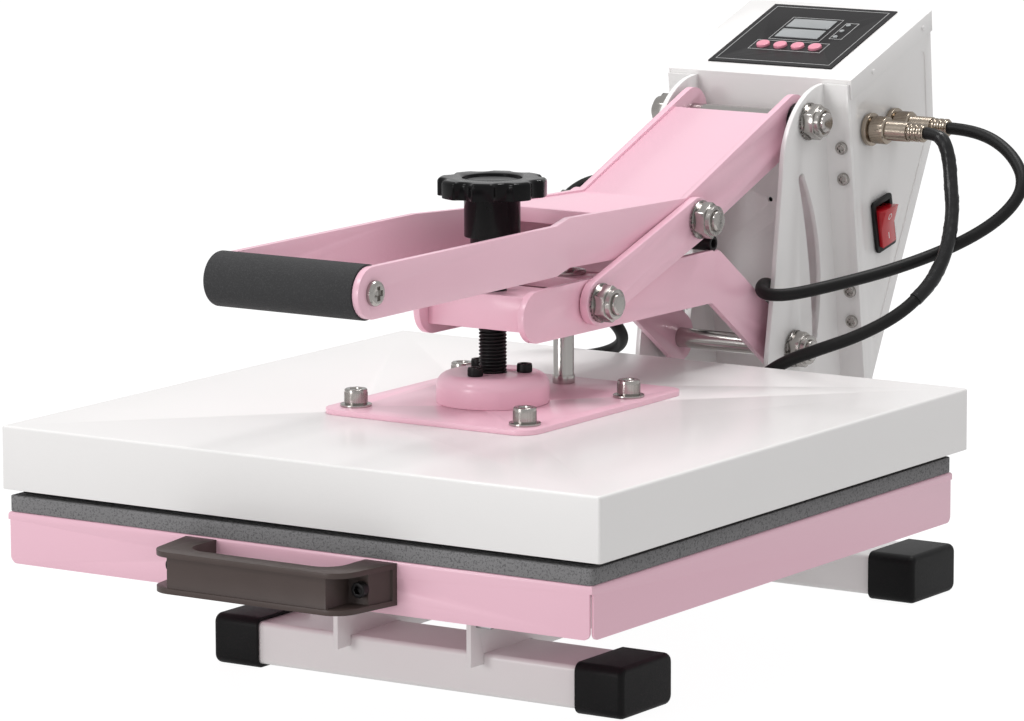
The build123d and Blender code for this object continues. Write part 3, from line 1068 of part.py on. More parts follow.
for side in (-1, 1):
    pocket_x = sorted((side * PULL_WEB_HALF, side * PULL_FOOT_HALF))
    pull -= block(pocket_x, (PULL_FRONT, foot_wall), web_z)
    pull -= rod_y(side * PULL_SCREW_X, (foot_wall, PAN_FRONT), pull_screw_z, M5_RADIUS + HOLE_GAP)
    reach = PULL_FOOT_DEPTH + PAN_SHEET + HOLE_GAP
    screw = socket_screw(0, reach, M5_RADIUS, M5_HEAD_RADIUS, M5_HEAD)
    pull_screws.append(Pos(side * PULL_SCREW_X, foot_wall, pull_screw_z) * Rot(90, 0, 0) * screw)
save("pull_handle", pull)
save("pull_screws", *pull_screws)

# Drawer slides, each of three nested members, and the carriage under the pan
slide_y = (SLIDE_FRONT, SLIDE_FRONT + SLIDE_LENGTH)


def slide_member(x, z, open_side):
    shell = block(x, slide_y, z)
    cavity_x = (x[0] + SLIDE_SHEET, x[1]) if open_side > 0 else (x[0], x[1] - SLIDE_SHEET)
    return shell - block(cavity_x, slide_y, (z[0] + SLIDE_SHEET, z[1] - SLIDE_SHEET))


step = SLIDE_SHEET + SHEET_GAP
outer_member = slide_member((STAND_OUTER, STAND_OUTER + SLIDE_WIDTH), (SLIDE_UNDER, SLIDE_TOP), 1)
middle_x = (STAND_OUTER + step, STAND_OUTER + step + SLIDE_MIDDLE_WIDTH)
middle_member = slide_member(middle_x, (SLIDE_UNDER + step, SLIDE_TOP - step), 1)
inner_x = (middle_x[0] + step, middle_x[0] + step + SLIDE_INNER_WIDTH)
inner_member = slide_member(inner_x, (SLIDE_UNDER + 2 * step, SLIDE_TOP - 2 * step), -1)
carriage_x = inner_x[1]
carriage_front = slide_y[0] + CARRIAGE_SETBACK
carriage_y = (carriage_front, carriage_front + CARRIAGE_LENGTH)
carriage = block((carriage_x, carriage_x + CARRIAGE_SHEET), carriage_y,
                 (SLIDE_UNDER + 2 * step, PAN_TOP - PAN_SHEET))
carriage += block((carriage_x, carriage_x + CARRIAGE_FLANGE), carriage_y,
                  (PAN_TOP - PAN_SHEET - CARRIAGE_SHEET, PAN_TOP - PAN_SHEET))
slide_rivets = []
carriage_rivets = []
for y in rivet_y:
    outer_member -= rod_x((STAND_OUTER, STAND_OUTER + SLIDE_SHEET), y, rivet_z, SLIDE_RIVET_RADIUS + RUNNING_GAP)
    inner_member -= rod_x((inner_x[1] - SLIDE_SHEET, inner_x[1]), y, rivet_z, SLIDE_RIVET_RADIUS + RUNNING_GAP)
    carriage -= rod_x((carriage_x, carriage_x + CARRIAGE_SHEET), y, rivet_z, SLIDE_RIVET_RADIUS + RUNNING_GAP)
    rivet = rod_x((STAND_INNER - SLIDE_RIVET_HEAD, STAND_INNER), y, rivet_z, 2 * SLIDE_RIVET_RADIUS)
    slide_rivets.append(rivet + rod_x((STAND_INNER, STAND_OUTER + SLIDE_SHEET), y, rivet_z, SLIDE_RIVET_RADIUS))
    outer_face = carriage_x + CARRIAGE_SHEET
    rivet = rod_x((outer_face, outer_face + SLIDE_RIVET_HEAD), y, rivet_z, 2 * SLIDE_RIVET_RADIUS)
    carriage_rivets.append(rivet + rod_x((inner_x[1] - SLIDE_SHEET, outer_face), y, rivet_z, SLIDE_RIVET_RADIUS))
slide_rivets += [flip(rivet) for rivet in slide_rivets]
carriage_rivets += [flip(rivet) for rivet in carriage_rivets]
save("slide_outer_members", outer_member, flip(outer_member), *slide_rivets)
save("slide_middle_members", middle_member, flip(middle_member))
save("slide_inner_members", inner_member, flip(inner_member))
save("drawer_carriage", carriage, flip(carriage), *carriage_rivets)


# Leads: straight runs joined by tangent arcs
def lead(node, points):
    corners = [Vector(*point) for point in points]
    radii = []
    for before, corner, after in zip(corners, corners[1:], corners[2:]):
        turn = radians((corner - before).get_angle(after - corner))
        shorter = min((corner - before).length, (after - corner).length)
        radii.append(0.45 * shorter / tan(turn / 2))
    path = FilletPolyline(*points, radius=radii)
    tube = sweep(Plane(origin=path @ 0, z_dir=path % 0) * Circle(LEAD_RADIUS), path=path)
    runs = [(after - before).length for before, after in zip(corners, corners[1:])]
    section = pi * LEAD_RADIUS ** 2
    print(node, "runs", [round(run) for run in runs], "radii", [round(radius) for radius in radii])
    print(node, "length", round(path.length, 1), "volume by length", round(tube.volume / (section * path.length), 4))
    save(node, tube)


plug_front = (tail_end, PLUG_FRONT_Y, PLUG_Z)
plug_rear = (tail_end, PLUG_REAR_Y, PLUG_Z)
lead("lead_front", [plug_front, *FRONT_LEAD_BENDS, (GLAND_RIGHT_X, gland_y, GLAND_Z)])
lead("lead_rear", [plug_rear, *REAR_LEAD_BENDS, (GLAND_LEFT_X, COVER_HALF + GLAND_LEFT_REACH, GLAND_Z)])
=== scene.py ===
# %% [markdown]
# # A slide-out heat press, dressed for the studio
# The press is already a set of solids that fit and move. This lesson gives each of them
# the finish of the real thing: powder coat, black oxide, zinc, foam and silicone. It starts
# by loading the imported model.

# %% Load the frame
import json
import math
import bmesh
import bpy
from mathutils import Matrix, Vector

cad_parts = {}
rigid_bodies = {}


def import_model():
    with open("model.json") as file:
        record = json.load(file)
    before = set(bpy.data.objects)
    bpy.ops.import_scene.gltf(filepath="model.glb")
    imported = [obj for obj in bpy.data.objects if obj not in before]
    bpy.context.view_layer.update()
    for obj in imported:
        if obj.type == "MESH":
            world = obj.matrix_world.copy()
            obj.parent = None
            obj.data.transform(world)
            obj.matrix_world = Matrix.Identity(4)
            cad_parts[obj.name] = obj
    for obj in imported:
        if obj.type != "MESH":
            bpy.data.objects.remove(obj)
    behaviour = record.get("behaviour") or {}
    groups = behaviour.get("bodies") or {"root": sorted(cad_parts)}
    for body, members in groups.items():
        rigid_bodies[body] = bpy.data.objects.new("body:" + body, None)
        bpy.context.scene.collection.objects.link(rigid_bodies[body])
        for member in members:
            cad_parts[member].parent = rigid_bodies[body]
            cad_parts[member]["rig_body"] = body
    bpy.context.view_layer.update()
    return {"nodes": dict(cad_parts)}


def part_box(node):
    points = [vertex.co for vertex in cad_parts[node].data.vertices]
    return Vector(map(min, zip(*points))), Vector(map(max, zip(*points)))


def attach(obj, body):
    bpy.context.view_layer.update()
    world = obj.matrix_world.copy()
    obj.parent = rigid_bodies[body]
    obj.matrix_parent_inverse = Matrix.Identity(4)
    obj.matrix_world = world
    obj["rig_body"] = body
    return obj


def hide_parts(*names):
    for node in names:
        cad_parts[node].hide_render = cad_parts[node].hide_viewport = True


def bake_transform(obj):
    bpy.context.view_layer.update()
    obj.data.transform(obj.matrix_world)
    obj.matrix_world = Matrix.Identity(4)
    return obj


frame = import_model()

NODES = frame["nodes"]
print("solids loaded:", len(NODES))

# %% [markdown]
# All places in this lesson are given from the middle of the heated plate, in metres, with
# the floor at zero height. The frame puts the middle of the whole footprint at Y = 0, so
# one number, read from the platen's cover, moves a place from one to the other.

# %% Places are measured from the heated plate
cover_low, cover_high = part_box("platen_cover")
PLATE_Y = (cover_low[1] + cover_high[1]) / 2


def at(x, y, z):
    return Vector((x, y + PLATE_Y, z))


print("plate centre at Y =", round(PLATE_Y, 4))

# %% [markdown]
# The camera comes first. A product shot like this one is taken from far away with a long
# lens, so that parallel edges stay nearly parallel. The distance, the two angles and a
# hair of roll were worked out from the square cover, whose true size is known.

# %% Camera
AZIMUTH = math.radians(33.37)
ELEVATION = math.radians(9.45)
ROLL = math.radians(-0.18)
CAMERA_PLACE = at(1.7551, -2.6450, 0.7047)
back = Vector((math.sin(AZIMUTH) * math.cos(ELEVATION),
               -math.cos(AZIMUTH) * math.cos(ELEVATION), math.sin(ELEVATION)))
level_right = Vector((math.cos(AZIMUTH), math.sin(AZIMUTH), 0))
level_up = back.cross(level_right)
right = level_right * math.cos(ROLL) + level_up * math.sin(ROLL)
up = level_up * math.cos(ROLL) - level_right * math.sin(ROLL)
camera_data = bpy.data.cameras.new("camera")
camera_data.lens = 199.61
camera_data.sensor_width = 36.0
camera_data.clip_end = 50.0
camera = bpy.data.objects.new("camera", camera_data)
turn = Matrix((right, up, back)).transposed()
camera.matrix_world = Matrix.Translation(CAMERA_PLACE) @ turn.to_4x4()
bpy.context.scene.collection.objects.link(camera)
bpy.context.scene.camera = camera
bpy.context.scene.view_settings.view_transform = "Standard"
print("lens", camera_data.lens)

# %% [markdown]
# Shader maths reads best as a formula. This small class wraps a socket, so that
# `0.3 + grain * 0.1` adds the Math nodes by itself. One method makes any other node: its
# settings go first and its sockets after, by name or by number.


# %% A small language for materials
class Term:
    def __init__(self, tree, socket):
        self.tree = tree
        self.socket = socket

    def _math(self, operation, *values):
        return self.tree.node("ShaderNodeMath", {"operation": operation}, *values)

    def __add__(self, other):
        return self._math("ADD", self, other)

    def __mul__(self, other):
        return self._math("MULTIPLY", self, other)

    def __gt__(self, other):
        return self._math("GREATER_THAN", self, other)

    __radd__ = __add__


class Shader:
    def __init__(self, name):
        self.material = bpy.data.materials.new(name)
        self.material.use_nodes = True
        self.nodes = self.material.node_tree.nodes
        self.links = self.material.node_tree.links
        self.surface = self.nodes["Principled BSDF"]

    def join(self, value, socket):
        if isinstance(value, Term):
            self.links.new(value.socket, socket)
        else:
            socket.default_value = value

    def node(self, kind, settings=None, *values, out=0, **named):
        made = self.nodes.new(kind)
        for key, value in (settings or {}).items():
            setattr(made, key, value)
        for index, value in enumerate(values):
            self.join(value, made.inputs[index])
        for key, value in named.items():
            self.join(value, made.inputs[key.replace("_", " ")])
        return Term(self, made.outputs[out])

    def set(self, **sockets):
        for key, value in sockets.items():
            self.join(value, self.surface.inputs[key.replace("_", " ")])

    def place(self):
        return self.node("ShaderNodeTexCoord", out="Object")

    def noise(self, scale, detail=2.0, roughness=0.5, vector=None):
        return self.node("ShaderNodeTexNoise", out="Fac", Vector=vector or self.place(),
                         Scale=scale, Detail=detail, Roughness=roughness)

    def cells(self, scale):
        return self.node("ShaderNodeTexVoronoi", out="Distance", Vector=self.place(), Scale=scale)

    def blend(self, amount, first, second):
        # The colour sockets of a Mix node are its inputs 6 and 7, and its output 2
        mixed = self.nodes.new("ShaderNodeMix")
        mixed.data_type = "RGBA"
        self.join(amount, mixed.inputs["Factor"])
        self.join(first, mixed.inputs[6])
        self.join(second, mixed.inputs[7])
        return Term(self, mixed.outputs[2])

    def bump(self, height, strength, distance):
        return self.node("ShaderNodeBump", out="Normal", Height=height, Strength=strength,
                         Distance=distance)


def colour(red, green, blue):
    # A colour written as on a screen, turned to linear light
    shares = [value / 255 for value in (red, green, blue)]
    linear = [share / 12.92 if share <= 0.04045 else ((share + 0.055) / 1.055) ** 2.4
              for share in shares]
    return (*linear, 1.0)


def scaled(tint, factor, lift=0.0):
    # The same colour, darker or lighter
    return tuple(min(1.0, channel * factor + lift) for channel in tint[:3]) + (1.0,)


print("shader helpers ready")

# %% [markdown]
# Powder coat is a baked skin of plastic powder. Close up it has a faint orange-peel ripple
# about a millimetre across, and it takes the light softly. A low bump and a slightly
# uneven roughness give that; the colour itself hardly changes. A noise texture's scale
# counts its waves in a metre, so the ripple has a high one and the slow drift a low one.

# %% Powder coat
RIPPLE_SCALE = 620
DRIFT_SCALE = 9
SPECK_SCALE = 1900
SPECK_LEVEL = 0.68
SPECK_SHARE = 0.12
DARK_SHARE = 0.955


def powder_coat(name, tint):
    shader = Shader(name)
    place = shader.place()
    ripple = shader.noise(RIPPLE_SCALE, 3, 0.6, place)
    drift = shader.noise(DRIFT_SCALE, 3, 0.5, place)
    specks = shader.noise(SPECK_SCALE, 2, 0.6, place)
    dark = scaled(tint, DARK_SHARE)
    body = shader.blend(drift, dark, tint)
    shader.set(Base_Color=shader.blend((specks > SPECK_LEVEL) * SPECK_SHARE, body, dark),
               Roughness=0.27 + drift * 0.1 + ripple * 0.06, Coat_Weight=0.3, Coat_Roughness=0.14,
               Normal=shader.bump(ripple, strength=0.16, distance=0.0004))
    return shader.material


WHITE_COAT = powder_coat("white_powder_coat", colour(238, 236, 235))
PINK_COAT = powder_coat("pink_powder_coat", colour(238, 190, 206))
print("coats:", WHITE_COAT.name, PINK_COAT.name)

# %% [markdown]
# Bright zinc, polished shafts and nickel are all metal, and differ in how fine their
# marks are. The marks of a turned part run round it, and a rolled sheet's run along it,
# so a noise that is stretched along one axis stands for both.


# %% Metals
def metal(name, tint, roughness, stretch=(1, 1, 1), scale=400):
    shader = Shader(name)
    stretched = shader.node("ShaderNodeMapping", out="Vector", Vector=shader.place(), Scale=stretch)
    grain = shader.noise(scale, 4, 0.6, stretched)
    cloud = shader.noise(60, 2, 0.5)
    dull = scaled(tint, 0.82)
    shader.set(Base_Color=shader.blend(cloud, dull, tint), Metallic=1.0,
               Roughness=roughness - 0.05 + grain * 0.14,
               Normal=shader.bump(grain, strength=0.08, distance=0.00025))
    return shader.material


ZINC = metal("bright_zinc", colour(182, 178, 174), 0.2)
SHAFT_STEEL = metal("polished_shaft", colour(196, 192, 189), 0.17, stretch=(9, 1, 1), scale=260)
NICKEL = metal("satin_nickel", colour(176, 164, 150), 0.22)
RAIL_STEEL = metal("rolled_zinc", colour(176, 176, 178), 0.38, stretch=(1, 0.05, 1), scale=900)
PLATE_METAL = metal("plate_edge", colour(96, 94, 93), 0.5, stretch=(1, 1, 6), scale=500)
print("metals made")

# %% [markdown]
# Blackened steel has a thin oxide that leaves a soft grey sheen on its edges, so it is
# made as a dark metal, not as a black paint.


# %% Black oxide
def black_oxide():
    shader = Shader("black_oxide")
    grain = shader.noise(700, 3, 0.6)
    cloud = shader.noise(80, 2, 0.5)
    shader.set(Base_Color=shader.blend(cloud, colour(20, 19, 20), colour(36, 34, 35)), Metallic=0.6,
               Roughness=0.34 + grain * 0.16, Normal=shader.bump(grain, strength=0.1, distance=0.0002))
    return shader.material


BLACK_OXIDE = black_oxide()
print("oxide made")

# %% [markdown]
# The plastics differ in gloss and grain. The knob is polished, the feet have a coarse
# moulded grain, and the pull handle is a dark brown resin with a soft shine. The shine of a
# plain plastic is 0.5; less of it keeps a black moulding dark under a wide lamp.


# %% Plastics and rubber
def plastic(name, tint, roughness, grain, fineness, shine=0.3, coat=0.0):
    shader = Shader(name)
    texture = shader.noise(fineness, 3, 0.6)
    cloud = shader.noise(45, 3, 0.5)
    light = scaled(tint, 1.3, 0.004)
    shader.set(Base_Color=shader.blend(cloud, tint, light), Roughness=roughness - 0.04 + cloud * 0.1,
               Coat_Weight=coat, Coat_Roughness=0.08, Specular_IOR_Level=shine,
               Normal=shader.bump(texture, strength=grain, distance=0.0004))
    return shader.material


KNOB_GLOSS = plastic("polished_knob", colour(8, 8, 9), 0.16, 0.04, 500, shine=0.14)
FOOT_GRAIN = plastic("grained_cap", colour(9, 9, 10), 0.42, 0.4, 1300, shine=0.16)
HANDLE_RESIN = plastic("handle_resin", colour(68, 57, 54), 0.36, 0.1, 900)
BLACK_PLASTIC = plastic("black_moulding", colour(14, 14, 15), 0.4, 0.12, 900, shine=0.22)
OVERLAY_FILM = plastic("overlay_film", colour(30, 29, 30), 0.4, 0.12, 2200, shine=0.16)
WINDOW_GLOSS = plastic("display_window", colour(140, 143, 144), 0.14, 0.02, 500, shine=0.4, coat=0.3)
KEY_PINK = plastic("key_pink", colour(212, 136, 154), 0.3, 0.06, 700, shine=0.4, coat=0.2)
ROCKER_RED = plastic("rocker_red", colour(178, 22, 34), 0.2, 0.04, 500, shine=0.4, coat=0.3)
LEAD_JACKET = plastic("lead_jacket", colour(13, 13, 13), 0.46, 0.14, 1600, shine=0.24)
SHRINK_SLEEVE = plastic("shrink_sleeve", colour(18, 18, 19), 0.3, 0.5, 260, shine=0.34)
PRINT_GREY = plastic("print_grey", colour(150, 150, 150), 0.4, 0.06, 900)
MARK_WHITE = plastic("mark_white", colour(232, 228, 226), 0.4, 0.06, 900)
BOARD_GREEN = plastic("board_green", colour(24, 84, 50), 0.4, 0.1, 900)
print("plastics made")

# %% [markdown]
# The grip is closed-cell foam and the pad is silicone sponge. Both are full of bubbles:
# fine and dark on the grip, and on the pad grey with darker specks where the skin is cut
# through.


# %% Foams
def foam(name, tint, speck, cell, depth, roughness):
    shader = Shader(name)
    pores = shader.cells(cell)
    specks = shader.noise(cell * 0.8, 3, 0.7)
    cloud = shader.noise(14, 3, 0.5)
    light = scaled(tint, 1.18)
    body = shader.blend(cloud, tint, light)
    shader.set(Base_Color=shader.blend((specks > 0.56) * 0.7, body, speck), Roughness=roughness,
               Normal=shader.bump(pores, strength=depth, distance=0.0006), Specular_IOR_Level=0.2)
    return shader.material


GRIP_FOAM = foam("grip_foam", colour(54, 54, 55), colour(70, 70, 71), 1500, 0.35, 0.66)
PAD_FOAM = foam("pad_sponge", colour(122, 121, 122), colour(84, 84, 85), 950, 0.5, 0.85)
WOOL = foam("ceramic_wool", colour(232, 230, 222), colour(206, 203, 194), 500, 0.6, 0.95)
print("foams made")

# %% [markdown]
# A solid straight from the construction has knife-sharp edges, which no rolled, cut or
# moulded part has. A copy of each solid is welded, its flat faces are joined into single
# polygons, and its sharp edges get a small round that catches the light.

# %% Rounded copies of the solids
WELD = 2e-6
FLAT_ANGLE = math.radians(0.6)
SHARP_ANGLE = math.radians(32)
ROUND_SHARP_ANGLE = math.radians(40)
STUD_SHARP_ANGLE = math.radians(25)
EDGE_SEGMENTS = 2


def rounded(node, radius, material):
    mesh = NODES[node].data.copy()
    shape = bmesh.new()
    shape.from_mesh(mesh)
    bmesh.ops.remove_doubles(shape, verts=shape.verts, dist=WELD)
    bmesh.ops.dissolve_limit(shape, angle_limit=FLAT_ANGLE, verts=shape.verts, edges=shape.edges)
    shape.to_mesh(mesh)
    shape.free()
    piece = bpy.data.objects.new(f"{node}_finished", mesh)
    bpy.context.scene.collection.objects.link(piece)
    mesh.materials.clear()
    mesh.materials.append(material)
    if radius:
        bevel = piece.modifiers.new("edge_round", "BEVEL")
        bevel.width = radius
        bevel.segments = EDGE_SEGMENTS
        bevel.limit_method = "ANGLE"
        bevel.angle_limit = SHARP_ANGLE
        bevel.use_clamp_overlap = True
        bevel.miter_outer = "MITER_ARC"
    return settle(piece)


def settle(piece, sharp=SHARP_ANGLE):
    # The finished mesh replaces the modifiers, and is shaded smooth except at sharp edges
    graph = bpy.context.evaluated_depsgraph_get()
    made = bpy.data.meshes.new_from_object(piece.evaluated_get(graph), depsgraph=graph)
    piece.modifiers.clear()
    piece.data = made
    made.shade_smooth()
    made.set_sharp_from_angle(angle=sharp)
    return piece


def dress(node, radius, material):
    piece = rounded(node, radius, material)
    body = NODES[node]["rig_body"]
    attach(piece, body)
    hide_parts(node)
    return piece


# %% [markdown]
# Now each solid is given its edge and its finish. A bent sheet is rounded by half a
# millimetre, a stamped plate a little more, and a small screw hardly at all. What the
# press hides, such as its element and wool, is dressed too, because a lifted arm or a
# pulled drawer brings it into view.

# %% Finish of every solid
# Each row gives the radius of the edges, in metres, and the material
FINISHES = {
    "platen_cover": (0.0006, WHITE_COAT), "mounting_plate": (0.0006, PINK_COAT),
    "hub": (0.0006, PINK_COAT), "heating_plate": (0.0003, PLATE_METAL),
    "insulation": (0.0, WOOL), "heating_element": (0.0, RAIL_STEEL),
    "platen_screws": (0.0002, ZINC), "hub_screws": (0.0002, BLACK_OXIDE),
    "guide_post": (0.0003, SHAFT_STEEL), "lead_glands": (0.0005, BLACK_PLASTIC),
    "height_screw": (0.0003, BLACK_OXIDE), "knob": (0.0006, KNOB_GLOSS),
    "arm_plates": (0.0007, PINK_COAT), "arm_channels": (0.0006, PINK_COAT),
    "arm_bushes": (0.0004, SHAFT_STEEL), "arm_stop_bar": (0.0003, BLACK_OXIDE),
    "lever_bars": (0.0007, PINK_COAT), "lever_web": (0.0006, PINK_COAT),
    "grip_rod": (0.0002, ZINC), "grip": (0.0008, GRIP_FOAM), "link_bars": (0.0007, PINK_COAT),
    "link_bolts": (0.0002, ZINC), "link_nuts": (0.0003, ZINC),
    "stand_plate_left": (0.0006, WHITE_COAT), "stand_plate_right": (0.0006, WHITE_COAT),
    "flange_screws": (0.0002, ZINC), "pivot_shafts": (0.0002, SHAFT_STEEL),
    "pivot_nuts": (0.0003, ZINC), "pivot_spacers": (0.0004, BLACK_PLASTIC),
    "foot_tubes": (0.0006, WHITE_COAT), "foot_caps": (0.0008, FOOT_GRAIN),
    "cross_brace": (0.0005, WHITE_COAT), "box_shell": (0.0005, WHITE_COAT),
    "box_side_left": (0.0004, WHITE_COAT), "box_side_right": (0.0004, WHITE_COAT),
    "box_lid": (0.0005, WHITE_COAT), "panel_overlay": (0.0002, OVERLAY_FILM),
    "display_windows": (0.0002, WINDOW_GLOSS), "display_board": (0.0, BOARD_GREEN),
    "relay_module": (0.0004, BLACK_PLASTIC), "switch_housing": (0.0004, BLACK_PLASTIC),
    "switch_rocker": (0.0005, ROCKER_RED), "lead_sockets": (0.0003, NICKEL),
    "lead_plugs": (0.0003, NICKEL), "power_inlet": (0.0004, BLACK_PLASTIC),
    "drawer_pan": (0.0005, PINK_COAT), "silicone_pad": (0.0006, PAD_FOAM),
    "pull_handle": (0.0009, HANDLE_RESIN), "pull_screws": (0.0002, BLACK_OXIDE),
    "slide_outer_members": (0.0003, RAIL_STEEL), "slide_middle_members": (0.0003, RAIL_STEEL),
    "slide_inner_members": (0.0003, RAIL_STEEL), "drawer_carriage": (0.0004, RAIL_STEEL),
}
for number in range(1, 5):
    FINISHES[f"key_{number}"] = (0.0003, KEY_PINK)
DRESSED = {}
for node, (radius, material) in FINISHES.items():
    DRESSED[node] = dress(node, radius, material)
print("solids dressed:", len(DRESSED))

# %% [markdown]
# The pad and the grip are the two soft pieces. The pad is a dense sheet of sponge, so it
# keeps its flat form and only its edges are a little softer. The grip is a tight sleeve.
# Both keep the rounded copies made above, and nothing more is done to them here.

# %% Soft pieces
print("soft pieces: 2, left as rounded above")

# %% [markdown]
# Many small things here are the same figure: a ring of little studs. The teeth of a lock
# washer, the knurl of a screw head and the ribs of a plug's nut differ only in count,
# size and twist. One Geometry Nodes tree makes them all. A circle carries one stud at each
# of its points, and the ring is then set on every point of the mesh that it is given.


# %% Tree for a ring of studs
def ring_tree():
    tree = bpy.data.node_groups.new("ring_of_studs", "GeometryNodeTree")
    face = tree.interface
    face.new_socket("Places", in_out="INPUT", socket_type="NodeSocketGeometry")
    for name, kind in (("Count", "NodeSocketInt"), ("Radius", "NodeSocketFloat"),
                       ("Stud size", "NodeSocketVector"), ("Twist", "NodeSocketVector"),
                       ("Turn", "NodeSocketVector"), ("Material", "NodeSocketMaterial")):
        face.new_socket(name, in_out="INPUT", socket_type=kind)
    face.new_socket("Rings", in_out="OUTPUT", socket_type="NodeSocketGeometry")

    def node(kind, **links):
        made = tree.nodes.new(kind)
        for key, source in links.items():
            tree.links.new(source, made.inputs[key.replace("_", " ")])
        return made

    given = tree.nodes.new("NodeGroupInput").outputs
    circle = node("GeometryNodeMeshCircle", Vertices=given["Count"], Radius=given["Radius"])
    stud = node("GeometryNodeMeshCube", Size=given["Stud size"])
    twisted = node("GeometryNodeTransform", Geometry=stud.outputs["Mesh"], Rotation=given["Twist"])
    position = tree.nodes.new("GeometryNodeInputPosition")
    outward = node("FunctionNodeAlignEulerToVector", Vector=position.outputs["Position"])
    outward.axis = "X"
    outward.pivot_axis = "Z"
    ring = node("GeometryNodeInstanceOnPoints", Points=circle.outputs["Mesh"],
                Instance=twisted.outputs["Geometry"], Rotation=outward.outputs["Rotation"])
    turned = node("GeometryNodeTransform", Geometry=ring.outputs["Instances"], Rotation=given["Turn"])
    spread = node("GeometryNodeInstanceOnPoints", Points=given["Places"],
                  Instance=turned.outputs["Geometry"])
    real = node("GeometryNodeRealizeInstances", Geometry=spread.outputs["Instances"])
    finish = node("GeometryNodeSetMaterial", Geometry=real.outputs["Geometry"], Material=given["Material"])
    end = tree.nodes.new("NodeGroupOutput")
    tree.links.new(finish.outputs["Geometry"], end.inputs["Rings"])
    return tree


RING_TREE = ring_tree()
SOCKETS = {item.name: item.identifier for item in RING_TREE.interface.items_tree if item.in_out == "INPUT"}
print("inputs:", list(SOCKETS))

# %% [markdown]
# The press needs five sets of such rings. Their places and sizes are in millimetres, as on
# a drawing, and a washer's teeth are twisted a little, so that they bite when it turns.


# %% Rings on the object
def rings(name, body, places, material, count, radius, size, twist=(0, 0, 0), turn=(0, 0, 0)):
    mesh = bpy.data.meshes.new(name)
    mesh.from_pydata([tuple(at(*(value / 1000 for value in place))) for place in places], [], [])
    piece = bpy.data.objects.new(name, mesh)
    bpy.context.scene.collection.objects.link(piece)
    maker = piece.modifiers.new("rings", "NODES")
    maker.node_group = RING_TREE
    values = {"Count": count, "Radius": radius / 1000, "Stud size": [value / 1000 for value in size],
              "Twist": twist, "Turn": turn, "Material": material}
    for key, value in values.items():
        maker[SOCKETS[key]] = value
    settle(piece, sharp=STUD_SHARP_ANGLE)
    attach(piece, body)
    print(name, "faces:", len(piece.data.polygons))


ACROSS = (0, math.pi / 2, 0)
TOOTH = (2.6, 1.5, 0.7)
TOOTH_TWIST = (0.62, 0, 0)
PIVOT_PLACES = ((271.9, 287.4), (256.5, 151.8))
LINK_PLACES = ((153.5, 242.0), (45.0, 207.2))
WASHER_FACE = {"stand": 46.5, "link": 43.0}
WASHER_MIDDLE = 0.9
for body, places in (("stand", PIVOT_PLACES), ("link", LINK_PLACES)):
    reach = WASHER_FACE[body] + WASHER_MIDDLE
    both = [(side * reach, y, z) for side in (-1, 1) for y, z in places]
    rings(f"{body}_washer_teeth", body, both, ZINC, count=26, radius=9.9, size=TOOTH,
          twist=TOOTH_TWIST, turn=ACROSS)
PLATE_HEAD_X = 57
PLATE_HEAD_Y = 54
PLATE_HEAD_Z = 158.2
heads = [(side * PLATE_HEAD_X, end * PLATE_HEAD_Y, PLATE_HEAD_Z) for side in (-1, 1) for end in (-1, 1)]
rings("platen_screw_knurl", "platen", heads, ZINC, count=44, radius=6.5, size=(0.35, 0.5, 5.6))
HUB_HEAD_RING = 18
HUB_HEAD_Z = 172.3
turns = [math.radians(turn) for turn in (30, 150, 270)]
heads = [(HUB_HEAD_RING * math.cos(turn), HUB_HEAD_RING * math.sin(turn), HUB_HEAD_Z) for turn in turns]
rings("hub_screw_knurl", "platen", heads, BLACK_OXIDE, count=34, radius=4.25, size=(0.3, 0.4, 3.2))
PLUG_X = 71.5
PLUG_Y = (317, 346)
PLUG_Z = 279
nuts = [(PLUG_X, y, PLUG_Z) for y in PLUG_Y]
rings("plug_knurl", "stand", nuts, NICKEL, count=48, radius=8.2, size=(0.4, 0.6, 8.2), turn=ACROSS)

# %% [markdown]
# A lock washer's teeth need room, so the plain disc under them is drawn in to the size of
# its own ring. The same is done to the height screw's shank, because the thread that goes
# round it is a piece of its own.


# %% Room for the teeth and the thread
def draw_in(piece, inside, centre_of, radius):
    for vertex in piece.data.vertices:
        if not inside(vertex.co):
            continue
        centre, axis = centre_of(vertex.co)
        spoke = vertex.co - centre
        spoke -= axis * spoke.dot(axis)
        if spoke.length > radius:
            vertex.co -= spoke * (1 - radius / spoke.length)
    piece.data.update()


def nearest_bolt(places):
    def find(point):
        centres = [at(point.x, y / 1000, z / 1000) for y, z in places]
        centre = min(centres, key=lambda place: (place - point).length)
        centre.x = point.x
        return centre, Vector((1, 0, 0))
    return find


DISC_RADIUS = 0.0094
DISC_DEPTH = 0.0017934
for node, body, places in (("pivot_nuts", "stand", PIVOT_PLACES), ("link_nuts", "link", LINK_PLACES)):
    disc_end = WASHER_FACE[body] / 1000 + DISC_DEPTH
    draw_in(DRESSED[node], lambda point: abs(point.x) < disc_end, nearest_bolt(places), DISC_RADIUS)
SHANK_RADIUS = 0.0070
SHANK_REACH = 0.0083


def on_shank(point):
    return math.hypot(point.x, point.y - PLATE_Y) < SHANK_REACH


def screw_axis(point):
    return at(0, 0, point.z), Vector((0, 0, 1))


draw_in(DRESSED["height_screw"], on_shank, screw_axis, SHANK_RADIUS)
print("discs and shank drawn in")

# %% [markdown]
# The thread is a ridge that climbs 2 mm for each turn. It could be modelled with the Screw
# modifier, but a grid of points whose radius depends on height and angle is just as short,
# and it can be cut off square at both ends.


# %% Thread of the height screw
SCREW_FOOT = 0.1605
SCREW_HEAD = 0.2474
THREAD_CREST = 0.00795
THREAD_ROOT = 0.0069
THREAD_PITCH = 0.002
FLANK_SLOPE = 1.5


